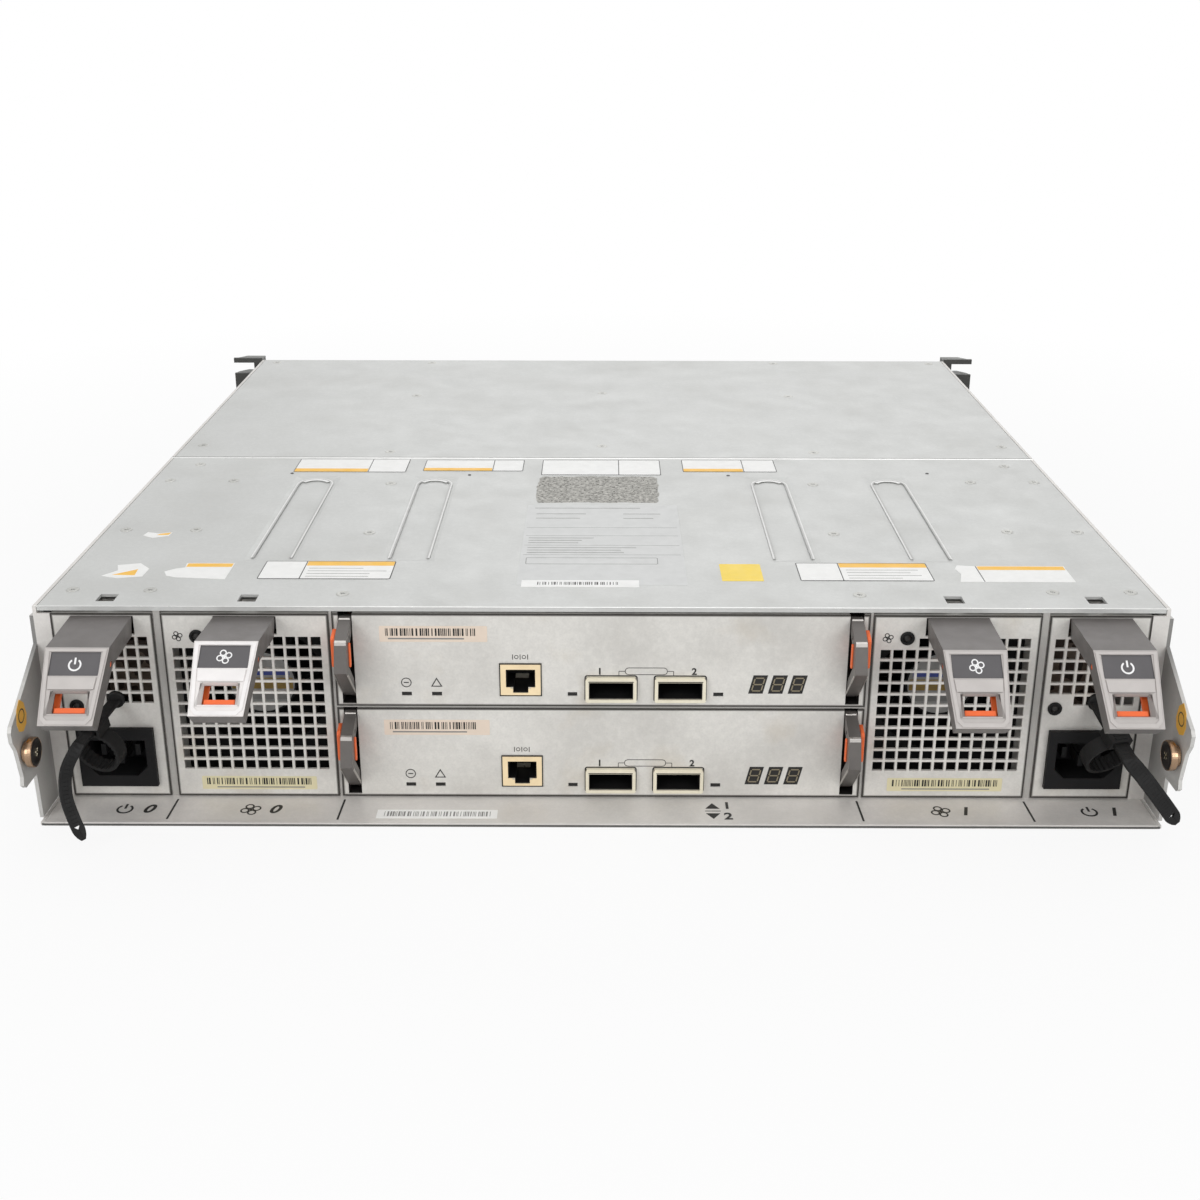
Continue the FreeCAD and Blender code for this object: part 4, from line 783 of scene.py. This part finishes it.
def expander_sockets(name, face):
    """Dark linings in the sockets' hollows, contacts, and the cages' rims and pressed tabs, with
    painted shade as dark outlines round the jack surround and the cages and as a dark line under
    each cage's top flange.
    """
    bm = bmesh.new()
    slab(bm, face, rectangle(*JACK), -SOCKET_DEPTH - 0.2, 0.1 - SOCKET_DEPTH, 0)
    for u0, v0, u1, v1 in ((-37.8, 8.6, -37.55, 16.4), (-26.35, 8.6, -26.1, 16.4),
                           (-37.8, 16.15, -26.1, 16.4), (-37.8, 8.6, -35, 8.85),
                           (-28.9, 8.6, -26.1, 8.85), (-35, 6.2, -34.75, 8.7),
                           (-29.15, 6.2, -28.9, 8.7), (-35, 6.2, -28.9, 6.45)):
        slab(bm, face, rectangle(u0, v0, u1, v1), -SOCKET_DEPTH, 0.1, 0)
    mouth = [(-37.8, 8.6), (-36, 8.6), (-36, 7.9), (-35, 7.9), (-35, 6.2), (-28.9, 6.2),
             (-28.9, 7.9), (-27.9, 7.9), (-27.9, 8.6), (-26.1, 8.6), (-26.1, 16.4), (-37.8, 16.4)]
    plate(bm, face, rectangle(-39.9, 5.2, -24, 18.5, 0.3), mouth, 0.3, 0.6, 3)
    # Painted shade: a dark outline round the jack surround, for the gap at its edge.
    band(bm, face, rectangle(-40.4, 4.7, -23.5, 19), rectangle(-40.0, 5.1, -23.9, 18.6), 0.3,
         0.48, 0)
    for number in range(8):
        u = -36 + 8.1 * number / 7
        slab(bm, face, rectangle(u - 0.15, 15.2, u + 0.15, 15.7), -11.5, -5, 1)
    for u0 in WIDE_SOCKETS:
        rim = rectangle(u0, 2.6, u0 + 20.4, 12.9, 0.9)
        band(bm, face, rim, rectangle(u0 + 1.3, 3.9, u0 + 19.1, 11.4, 0.3), 1.7, 2.05, 4)
        slab(bm, face, rectangle(u0 + 0.5, 12.75, u0 + 19.9, 13.35, 0.25), 0.05, 1.9, 4)
        # Painted shade: a dark outline round each cage, and a dark line under its top flange.
        band(bm, face, rectangle(u0 - 0.4, 2.2, u0 + 20.8, 13.8, 1.1),
             rectangle(u0, 2.6, u0 + 20.4, 13.4, 0.9), 0, 0.08, 0)
        stroke(bm, face, (u0 + 1.2, 11.75), (u0 + 19.2, 11.75), 0.35, 2.12, 0)
        for a, v0, b, v1, start, end in (
                (1.4, 4, 19, 11.3, -12.7, -12.5), (1.4, 4, 1.6, 11.3, -12.5, 1),
                (18.8, 4, 19, 11.3, -12.5, 1), (1.6, 11.1, 18.8, 11.3, -12.5, 1),
                (1.6, 4, 18.8, 4.2, -12.5, 1)):
            slab(bm, face, rectangle(u0 + a, v0, u0 + b, v1), start, end, 0)
        for offset in (5, 12.5):
            slab(bm, face, rectangle(u0 + offset, 12.3, u0 + offset + 3, 12.62), 0.2, 1.7, 2)
    piece(name + "_socket_insides", name, bm, [BLACK, PIN, STEEL, CREAM_PLASTIC, SOCKET_RIM])


def leg_surface(name):
    """The slanted front of a pull handle, with its origin at the elbow and up along the leg."""
    turn = Matrix.Rotation(math.radians(-LIFT[name]), 3, "X")
    elbow = Vector((0, PIVOT[0], PIVOT[1])) + turn @ Vector((0, *ELBOW))
    up = turn @ Vector((0, math.sqrt(0.5), math.sqrt(0.5)))
    return Surface((MODULES[name], elbow.y, elbow.z), (1, 0, 0), up)


def handle_fronts():
    """On each handle: a white sign, a raised rim, a lip over the window and its sloped sides, which
    are painted darker as shade.
    """
    length, foot = 30.2, 38.4

    def half(down):
        return 12 - 2.35 * down / foot

    for name in MODULES:
        bm = bmesh.new()
        leg = leg_surface(name)
        sunk = Surface(leg.at(0, 0, -0.4), leg.across, leg.up)
        if name in FANS:
            fan_sign(bm, sunk, 0, -6.2, 1.7, 0, 0.1)
        else:
            plug_sign(bm, sunk, 0, -6.6, 2.5, 0, 0.1)
        piece(name + "_handle_sign", name + "_handle", bm, [WHITE_INK])

        bm = bmesh.new()
        # Painted shade: the window's sloped sides and the strip under the lip are a darker copy of the
        # rim's grey.
        pale, shade_tone = ((236, 233, 232), (196, 193, 191)) if name == "fan_0" else \
            ((190, 185, 182), (142, 137, 134))
        rim = moulding(name + "_rim", srgb(*pale))
        shaded_slope = moulding(name + "_slope", srgb(*shade_tone))
        top, bottom = half(0), half(length)
        outer = mirrored([(top - 0.5, -0.5), (bottom - 0.6, 2.4 - length), (bottom - 2.6, 0.2 - length)])
        inner = mirrored([(top - 1.9, -1.5), (bottom - 1.9, 3.2 - length),
                          (bottom - 3.2, 1.8 - length)])
        band(bm, leg, outer, inner, -0.1, 0.4)
        slab(bm, leg, [(-8.6, -16.4), (8.6, -16.4), (9.0, -11.7), (-9.0, -11.7)], -0.1, 0.45)
        slab(bm, leg, [(-6.4, -16.9), (6.4, -16.9), (8.6, -16.4), (-8.6, -16.4)], -0.1, 0.2, 1)
        for sign in (-1, 1):
            corners = [leg.at(sign * u, v, w) for u, v, w in
                       ((6.4, -16.9, 0.15), (7.4, -20.6, 0.15), (7.42, -26.4, 0.05),
                        (6.25, -25.2, -1.35), (6.25, -17.4, -1.35))]
            bm.faces.new([bm.verts.new(c) for c in corners]).material_index = 1
            slab(bm, leg, [(sign * 7.4, -20.6), (sign * 8.5, -26.4), (sign * 7.4, -26.4)], -0.1,
                 0.12, 1)
        floor_edge = [leg.at(u, v, w) for u, v, w in
                      ((-8.5, -26.5, 0.15), (8.5, -26.5, 0.15), (6.25, -25.25, -1.35),
                       (-6.25, -25.25, -1.35))]
        bm.faces.new([bm.verts.new(c) for c in floor_edge])
        piece(name + "_handle_rim", name + "_handle", bm, [rim, shaded_slope], bevel=0.12)

        bm = bmesh.new()
        slab(bm, leg, rectangle(-5.9, -24.9, 5.9, -22.7, 0.3), -5.6, -2.3)
        piece(name + "_latch_bar", name + "_latch", bm, [ORANGE], bevel=0.3)


LEVERS = [(expander, side, z) for expander, z in EXPANDERS.items() for side in ("left", "right")]


def expander_latches():
    """Orange body behind each ejector lever's bow, a little wider than the bow."""
    bow = 2.6
    cheek = [(-9.6, 33), (-8.8, 34.2), (-3.6, 35.4), (-2.4, 34), (-2.4, 24), (-3.4, 22),
             (-9.4, 21.4), (-9.8, 23)]
    strip = [(-8.9, 30.6), (-8.0, 31.4), (-7.0, 31), (-7.0, 21.6), (-8.2, 20.8), (-9.2, 21.6)]
    for expander, side, z in LEVERS:
        latch = f"{expander}_latch_{side}"
        profile = lever_side(middle_x(f"{expander}_lever_{side}"), z)
        outboard = -1 if side == "left" else 1
        bm = bmesh.new()
        slab(bm, profile, cheek, *sorted((outboard * bow, outboard * (bow + 1.7))))
        slab(bm, profile, strip, *sorted((-outboard * (bow - 0.4), -outboard * (bow + 0.45))))
        slab(bm, profile, rectangle(-6.4, 22, -4.6, 29), -bow, bow)
        piece(latch + "_detail", latch, bm, [ORANGE], bevel=0.35,
              replaces=(latch,))


def lever_trim():
    """Bright pin of each ejector lever, a painted highlight across its elbow, and the pale flanges of
    its lower half.
    """
    pin_profile = [(0, 0), (0.7, 0.1), (0.8, 0.4), (0.8, 4.2), (0.7, 4.5), (0, 4.6)]
    elbow = [(-11.6, 33.95), (-12.62, 33.55), (-13.0, 32.2), (-12.6, 32.2), (-12.3, 33.3),
             (-11.5, 33.6)]
    flange = [(-14.9, 20.2), (-13.6, 20.6), (1.0, 6.1), (0.2, 5.2)]
    for expander, side, z in LEVERS:
        name = f"{expander}_lever_{side}"
        x = middle_x(name)
        bm = bmesh.new()
        lathe(bm, lever_side(x - 2.3, z + 37.9, REAR - 0.4), 0, 0, pin_profile, 16)
        profile = lever_side(x, z)
        # Painted highlight across the bend of the bow.
        slab(bm, profile, elbow, -2.25, 2.25)
        for offset in (-2.65, 2.35):
            slab(bm, profile, flange, offset, offset + 0.3)
        piece(name + "_trim", name, bm, [EDGE], bevel=0.12)


# ---------------------------------------------------------------------------- chassis trims

def sill_marks():
    """Slanted dividers, figures, an up and a down arrow and a strip label on the rear sill, with
    painted shade on its upright rear face and a painted highlight along its rear edge.
    """
    sill = Surface((0, SILL_REAR, FLOOR), (1, 0, 0), (0, 1, 0))
    depth = REAR - SILL_REAR
    bm = bmesh.new()
    for x in (173.5, 105.2):
        for sign in (-1, 1):
            stroke(bm, sill, (sign * x, 3), (sign * (x - 0.5), depth - 2.5), 0.8, 0.06)
    for text, x in (("0", -183), ("0", -132), ("1", 147), ("1", 207)):
        figures(bm, sill, text, x, depth / 2, 8.5, 0.06, 0, 0.25)
    for x in (-192.5, 197.5):
        plug_sign(bm, sill, x, depth / 2, 3.4, 0)
    for x in (-141.5, 137.5):
        fan_sign(bm, sill, x, depth / 2, 2.4, 0)
    for text, height in (("1", 14.4), ("2", 6.2)):
        figures(bm, sill, text, 51.4, height, 7.0, 0.06, 0)
    for sign in (-1, 1):
        slab(bm, sill, [(42.5, 10.4 + sign * 1.8), (48.3, 10.4 + sign * 1.8), (45.4, 10.4 + sign * 6)],
             0, 0.06)
    stroke(bm, sill, (42.2, 10.4), (48.6, 10.4), 0.4, 0.06)
    slab(bm, sill, rectangle(-90, 4.2, -41.5, 10.6), 0, 0.1, 1)
    bars(bm, sill, -87, 5.6, -44, 9.2, 21, 0.13, 2)
    # Painted shade on the lip's upright face, and a painted highlight along the sill's rear edge.
    lip = Surface((0, SILL_REAR, 0), (1, 0, 0), (0, 0, 1))
    slab(bm, lip, rectangle(-HALF + 0.6, 0.15, HALF - 0.6, FLOOR - 0.35), -0.05, 0.04, 3)
    slab(bm, sill, rectangle(-HALF + 0.6, 0.05, HALF - 0.6, 0.55), -0.05, 0.05, 4)
    # hem that closes the slit between the sill and each rail bracket
    for sign in (-1, 1):
        slab(bm, sill, rectangle(sign * (HALF - 1.3), 0.3, sign * (HALF - 0.02), depth),
             0.1 - FLOOR, -0.05, 5)
    piece("sill_marks", "chassis", bm, [INK, PAPER, GREY_INK, PAINTED_SHADE, PAINTED_HIGHLIGHT, TRAY])


def bracket_labels():
    """Plain amber diamond on the inboard face of each rail bracket's fin."""
    bm = bmesh.new()
    for sign in (-1, 1):
        face = Surface((sign * (HALF - 0.02), REAR, 0), (0, -sign, 0), (0, 0, 1))
        u = sign * 24
        shape = [(u - 5, 49), (u - 3.6, 45.4), (u, 43.8), (u + 3.6, 45.4), (u + 5, 49),
                 (u + 3.6, 54.4), (u, 57.4), (u - 3.6, 54.4)]
        slab(bm, face, shape, -0.02, 0.12, 0)
        band(bm, face, circle(u, 50.4, 2.9, 20), circle(u, 50.4, 2.4, 20), 0.1, 0.16, 1)
    piece("bracket_labels", "chassis", bm, [AMBER, INK])


def lock_screws():
    """Captive screw: slotted black face, knurled brass collar drawn smooth, and a threaded end outside.
    """
    for side, sign in (("left", -1), ("right", 1)):
        node = f"thumbscrew_{side}"
        centre = (low(node) + high(node)) / 2
        axis = Surface((sign * (HALF - 6.5), centre.y, centre.z), (0, sign, 0), (0, 0, 1))
        bm = bmesh.new()
        lathe(bm, axis, 0, 0, [(0, 1.9), (2.2, 1.85), (4.6, 1.7), (5.3, 1.9), (5.35, 2.6)], 36, 0)
        lathe(bm, axis, 0, 0, [(5.3, 2.3), (5.6, 1.9), (5.95, 2.2), (6.0, 3.4), (5.9, 4.4),
                               (5.4, 4.7), (4.4, 4.8), (4.3, 6.2), (2.1, 6.25)], 48, 1)
        lathe(bm, axis, 0, 0, [(2.1, 6.2), (2.1, 8.1), (2.08, 8.2), (2.4, 8.59), (2.08, 8.98),
                               (2.4, 9.37), (2.0, 9.9), (0, 10)], 24, 1)
        slot_mark = Surface(axis.at(0, 0, 1.5), axis.across, axis.up)
        for turn in (25, 115):
            end, start = arc(0, 0, 1.7, (turn, turn + 180))
            stroke(bm, slot_mark, start, end, 0.7, 0.3, 2)
        piece(node + "_detail", node, bm, [KNOB, BRASS, CONTACT],
              replaces=(node,), bevel=0.08)


def ear_caps():
    """Moulded trim in front of each rack ear, open where the ear's slots are."""
    plan = Surface((0, 0, 0), (1, 0, 0), (0, 1, 0))
    ear_low, ear_high = low("rack_ear_right"), high("rack_ear_right")
    inner, outer, back = ear_low.x + 0.4, ear_high.x, ear_high.y + 0.05
    outline = [(inner, back), (outer - 2.6, back), (outer - 0.1, back + 2.6),
               (outer - 1, back + 5.4), (outer - 6, back + 11.2), (inner, back + 11.2)]
    spine = rectangle(inner, back, inner + 4.4, back + 11.2)
    bm = bmesh.new()
    for sign in (-1, 1):
        for shape, start, end in ((outline, 85, 86.3), (outline, 8.9, 77.1), (spine, 0.6, 8.9),
                                  (spine, 77.1, 85)):
            slab(bm, plan, [(sign * x, y) for x, y in shape], start, end)
        for z in range(22, 66, 4):
            slab(bm, plan, [(sign * x, y) for x, y in
                            rectangle(inner + 5, back + 11, outer - 7, back + 11.6)], z, z + 1.6)
    piece("ear_caps", "chassis", bm, [TRIM], bevel=0.4)


def wall_details():
    """Flat heads on the chassis walls, the rail brackets and the ears' arms."""
    bm = bmesh.new()
    head = [(0, 0.1), (0.8, 0.1), (1.2, 0.35), (1.9, 0.4), (2.4, 0.2), (2.5, -0.2)]
    # wall, rail bracket and rack ear: how far out, and the rows and levels of their heads
    for x, depths, levels in ((HALF, (-120, -60, 0, 60, 120, 165), (12, 74)),
                              (HALF + 1.5, (REAR + 12, REAR + 48), (16, 66)),
                              (HALF + 2, (FRONT - 18,), (20, 66))):
        for sign in (-1, 1):
            for y in depths:
                for z in levels:
                    lathe(bm, wall_face(sign, x), sign * y, z, head, 18)
    piece("wall_heads", "chassis", bm, [RIVET], smooth=True)


# ---------------------------------------------------------------------------- cord retainers

# Route of each strap about its power module's zero, the same as its solid's.
ROUTES = {
    "power_0": ((2, -1.2, 44), (-4.5, -27, 38), (-9, -31, 29.5), (-9.5, -34, 20), (-6.5, -37, 11),
                (-3, -39, 3)),
    "power_1": ((2, -1.2, 44), (8.5, -24, 31.5), (14.5, -25.5, 24.5), (20.5, -26.5, 17),
                (25.5, -27, 10.5), (29.5, -27.5, 5)),
}
CLAMP_PLACE, STRAP_WIDTH, STRAP_SHEET = 16.5, 6.0, 1.4
# Each strap's width, and its twist in degrees after the straight run.
STRAP_LOOK = {"power_0": (4.8, -52), "power_1": (6.4, 6)}


def strap_axes(route):
    """Unit vectors along the strap's straight start, across it and out of its flat."""
    start, end = Vector(route[0]), Vector(route[1])
    along = (end - start).normalized()
    across = along.cross(Vector((0, 0, 1))).normalized()
    return start, along, across, across.cross(along)


def smooth_route(route, steps):
    """Points and directions along a curve that keeps the first run straight."""
    control = [Vector(p) for p in route]
    start, first = control[0], control[1]
    line = [start.lerp(first, i / 16) for i in range(16)]
    control.append(control[-1] * 2 - control[-2])
    for i in range(1, len(control) - 2):
        before, a, b, after = control[i - 1], control[i], control[i + 1], control[i + 2]
        if i == 1:
            before = a - (b - a).length * (first - start).normalized()
        for step in range(steps):
            t = step / steps
            line.append(0.5 * ((2 * a) + (b - before) * t + (2 * before - 5 * a + 4 * b - after) * t * t
                               + (3 * a - before - 3 * b + after) * t ** 3))
    line.append(control[-2])
    return line


def straps():
    for name, route in ROUTES.items():
        x = MODULES[name]
        line = smooth_route(route, 6)
        across = strap_axes(route)[2]
        width, twist = STRAP_LOOK[name]
        stations = []
        for i, point in enumerate(line):
            ahead = (line[min(i + 1, len(line) - 1)] - line[max(i - 1, 0)]).normalized()
            side = (across - ahead * across.dot(ahead)).normalized()
            turned = min(max((i - 14) / 10, 0), 1) * math.radians(twist)
            side = Matrix.Rotation(turned, 3, ahead) @ side
            stations.append((point, side, ahead.cross(side).normalized()))
        bm = bmesh.new()
        half, thick = width / 2, STRAP_SHEET / 2
        origin = Vector((x, REAR, MODULE_Z))

        def corner(i, across_by, out_by):
            point, side, out = stations[i]
            return origin + point + side * across_by + out * out_by

        count = len(stations)
        # two rails with raised and sunk rungs between them, closing to a rounded solid tip
        tip = {count - 4: 1.0, count - 3: 0.9, count - 2: 0.7, count - 1: 0.35}
        for edge in (-1, 1):
            rows = []
            for i in range(count):
                outer = edge * half * tip.get(i, 1.0)
                inner = 0.0 if i in tip else edge * half * 0.5
                rows.append([bm.verts.new(corner(i, u, w)) for u, w in
                             ((outer, -thick), (outer, thick), (inner, thick), (inner, -thick))])
            for row, after in zip(rows, rows[1:]):
                for k in range(4):
                    bm.faces.new((row[k], row[(k + 1) % 4], after[(k + 1) % 4], after[k]))
            bm.faces.new(rows[0])
            bm.faces.new(rows[-1][::-1])
        for i in range(count - 5):
            rise = thick * (1.2 if i % 2 else -0.55)
            corners = [bm.verts.new(corner(j, u * half * 0.6, w)) for w in (-thick * 0.9, rise)
                       for j, u in ((i, -1), (i, 1), (i + 1, 1), (i + 1, -1))]
            bm.faces.new(corners[3::-1])
            bm.faces.new(corners[4:])
            for k in range(4):
                m = (k + 1) % 4
                bm.faces.new((corners[k], corners[m], corners[m + 4], corners[k + 4]))
        root = rear_face(x + route[0][0], MODULE_Z + route[0][2])
        lathe(bm, root, 0, 0, [(3.6, 0), (3.6, 1.2), (3.0, 1.7), (0, 1.8)], 24)
        piece(name + "_strap_detail", name, bm, [NYLON], bevel=0.12,
              replaces=(name + "_strap",))


def clamps():
    """Sliding clamp: a ribbed box round the strap with a toothed open ring under it."""
    for name, route in ROUTES.items():
        start, along, across, out = strap_axes(route)
        seat = Vector((MODULES[name], REAR, MODULE_Z)) + start + along * CLAMP_PLACE
        end = Surface(seat, across, out)
        bm = bmesh.new()
        length, wall = 8.0, 1.4
        slot_half, slot_rise = STRAP_WIDTH / 2 + 0.25, STRAP_SHEET / 2 + 0.25
        outer = rectangle(-slot_half - wall, -slot_rise - wall, slot_half + wall, slot_rise + wall, 0.6)
        inner = rectangle(-slot_half, -slot_rise, slot_half, slot_rise, 0.1)
        band(bm, end, outer, inner, -length / 2, length / 2)
        radius = 9.6
        drop = slot_rise + wall + radius - 0.6
        count = 48
        ring = circle(0, -drop, radius, count)
        hole = []
        for i in range(count):
            angle = 2 * math.pi * i / count
            tooth = 0.55 if i % 2 and 0.55 < (angle / math.pi) % 2 < 1.9 else 0.0
            reach = radius - 1.3 - tooth
            hole.append((reach * math.cos(angle), -drop + reach * math.sin(angle)))
        band(bm, end, ring, hole, 1 - length / 2, length / 2 - 1)
        for level in (-2.4, -0.8, 0.8, 2.4):
            slab(bm, end, rectangle(-2.6, slot_rise + wall - 0.1, 2.6, slot_rise + wall + 0.35),
                 level - 0.35, level + 0.35)
        piece(name + "_clamp_detail", name + "_clamp", bm, [NYLON], bevel=0.15,
              replaces=(name + "_clamp",))


# ---------------------------------------------------------------------------- drives

# Distance between neighbouring carriers, and between the first carriers of two banks of six.
PITCH = 17.9
BANK_PITCH = 6 * PITCH + 0.6 + 1.2


def bezel_marks(bm, x):
    """Front of one carrier: two lights, and vents above and below."""
    face = Surface((x, BEZEL, 0), (-1, 0, 0), (0, 0, 1))
    for u, slot in ((-4.2, 1), (4.2, 1)):
        lathe(bm, face, u, 79.6, [(1.1, -0.1), (1.0, 0.12), (0.5, 0.25), (0, 0.28)], 14, slot)
    for row in range(3):
        for column in range(4):
            u = -5.4 + 3.6 * column
            slab(bm, face, rectangle(u - 1.3, 73.2 + row * 1.7, u + 1.3, 74.0 + row * 1.7, 0.35), -0.1,
                 0.05, 0)
        slab(bm, face, rectangle(-6.4, 4.6 + row * 2.2, 6.4, 5.6 + row * 2.2, 0.45), -0.1, 0.05, 0)


def lever_marks(bm, x):
    lever = Surface((x, high("drive_0_lever").y, 0), (-1, 0, 0), (0, 0, 1))
    band(bm, lever, rectangle(-4.6, 20, 4.6, 56, 1.2), rectangle(-3.9, 20.7, 3.9, 55.3, 0.8), -0.1,
         0.25, 0)
    for row in range(14):
        slab(bm, lever, rectangle(-3.2, 22.6 + row * 2.3, 3.2, 23.6 + row * 2.3, 0.4), -0.1, 0.06, 1)
    slab(bm, lever, rectangle(-4, 59.4, 4, 65.8, 1.0), -0.1, 0.35, 2)
    for row in range(3):
        slab(bm, lever, rectangle(-2.8, 60.9 + row * 1.5, 2.8, 61.5 + row * 1.5, 0.2), 0.3, 0.48, 1)


def drive_fronts():
    ends = {name: middle_x(name + "_carrier") for name in ("drive_0", "drive_23")}
    marks, trims = bmesh.new(), bmesh.new()
    for number in range(1, 23):
        bank, place = divmod(number, 6)
        x = ends["drive_0"] + place * PITCH + bank * BANK_PITCH
        bezel_marks(marks, x)
        lever_marks(trims, x)
    piece("carrier_marks", "chassis", marks, [BLACK, LENS])
    piece("lever_marks", "chassis", trims, [BEZEL_LEVER, BLACK, BEZELS])
    for name, x in ends.items():
        bm = bmesh.new()
        bezel_marks(bm, x)
        piece(name + "_marks", name, bm, [BLACK, LENS])
        bm = bmesh.new()
        lever_marks(bm, x)
        piece(name + "_lever_marks", name + "_lever", bm, [BEZEL_LEVER, BLACK, BEZELS])


cover_screws()
cover_edges()
cover_labels()
for name, x in FANS.items():
    fan_face(name, x)
for name, x in POWERS.items():
    power_face(name, x)
for name, z in EXPANDERS.items():
    for draw in (expander_marks, expander_digits, expander_sockets):
        draw(name, rear_face(0, z))
handle_fronts()
expander_latches()
lever_trim()
sill_marks()
bracket_labels()
lock_screws()
ear_caps()
wall_details()
straps()
clamps()
drive_fronts()


# ---------------------------------------------------------------------------- stage

def studio():
    """Pale floor that keeps a soft shadow, broad lamps, and white behind everything."""
    floor_mesh = bpy.data.meshes.new("floor")
    floor_mesh.from_pydata([(u, v, 0) for u, v in rectangle(-6, -6, 6, 6)], [], [(0, 1, 2, 3)])
    floor = bpy.data.objects.new("floor", floor_mesh)
    floor.location.z = -0.0002
    bpy.context.scene.collection.objects.link(floor)
    shader = Shader("studio_floor", roughness=0.9).colour((0.8, 0.8, 0.8, 1))
    glow = shader.add("Emission")
    glow.inputs["Color"].default_value = (1, 1, 1, 1)
    glow.inputs["Strength"].default_value = 1.0
    # the shadow fades with distance, so that the floor meets the white behind it
    fade = shader.spread(shader.vector("LENGTH", shader.place), 0.32, 0.8, 0.88, 1.0)
    blend = shader.add("MixShader")
    for socket, given in zip(blend.inputs, (
            shader.product(shader.add("LightPath").outputs["Is Camera Ray"], fade),
            shader.surface.outputs[0], glow.outputs[0])):
        shader.links.new(given, socket)
    shader.links.new(blend.outputs[0], shader.nodes["Material Output"].inputs["Surface"])
    floor_mesh.materials.append(shader.material)

    world = bpy.data.worlds.new("studio")
    bpy.context.scene.world = world
    world.use_nodes = True
    nodes, links = world.node_tree.nodes, world.node_tree.links
    fill = nodes["Background"]
    fill.inputs["Color"].default_value = (1, 1, 1, 1)
    path = nodes.new("ShaderNodeLightPath")
    clear = path.outputs["Is Camera Ray"]
    for ray in ("Is Glossy Ray", "Is Transmission Ray"):
        either = nodes.new("ShaderNodeMath")
        either.operation = "MAXIMUM"
        links.new(clear, either.inputs[0])
        links.new(path.outputs[ray], either.inputs[1])
        clear = either.outputs[0]
    strength = nodes.new("ShaderNodeMapRange")
    links.new(clear, strength.inputs["Value"])
    strength.inputs["To Min"].default_value = 0.5
    strength.inputs["To Max"].default_value = 1.0
    links.new(strength.outputs[0], fill.inputs["Strength"])

    def lamp(name, place, target, size, power):
        data = bpy.data.lights.new(name, "AREA")
        data.shape, data.size, data.size_y, data.energy = "RECTANGLE", size[0], size[1], power
        item = bpy.data.objects.new(name, data)
        bpy.context.scene.collection.objects.link(item)
        item.location = place
        item.rotation_euler = (Vector(target) - Vector(place)).to_track_quat("-Z", "Y").to_euler()

    lamp("over", (0.0, 0.1, 1.7), (0, 0, 0), (2.2, 2.0), 6.5)
    lamp("rear_left", (-1.3, -1.6, 1.0), (0, -0.1, 0.04), (1.2, 1.0), 15)
    lamp("rear_right", (1.2, -1.7, 0.9), (0, -0.1, 0.04), (1.2, 1.0), 13)
    lamp("far", (0.2, 1.9, 1.1), (0, 0.1, 0.04), (1.6, 1.0), 4)


def camera():
    data = bpy.data.cameras.new("camera")
    data.sensor_width, data.lens = 36.0, 43.93
    data.shift_x, data.shift_y = 0.00075, -0.0571
    data.clip_start = 0.01
    item = bpy.data.objects.new("camera", data)
    bpy.context.scene.collection.objects.link(item)
    item.matrix_world = (Matrix.Translation((0.0010, -0.7337, 0.3112))
                         @ Matrix.Rotation(math.radians(0.19), 4, "Z")
                         @ Matrix.Rotation(math.radians(90 - 20.13), 4, "X")
                         @ Matrix.Rotation(math.radians(0.08), 4, "Z"))
    bpy.context.scene.camera = item


studio()
camera()
bpy.context.scene.view_settings.view_transform = "Standard"
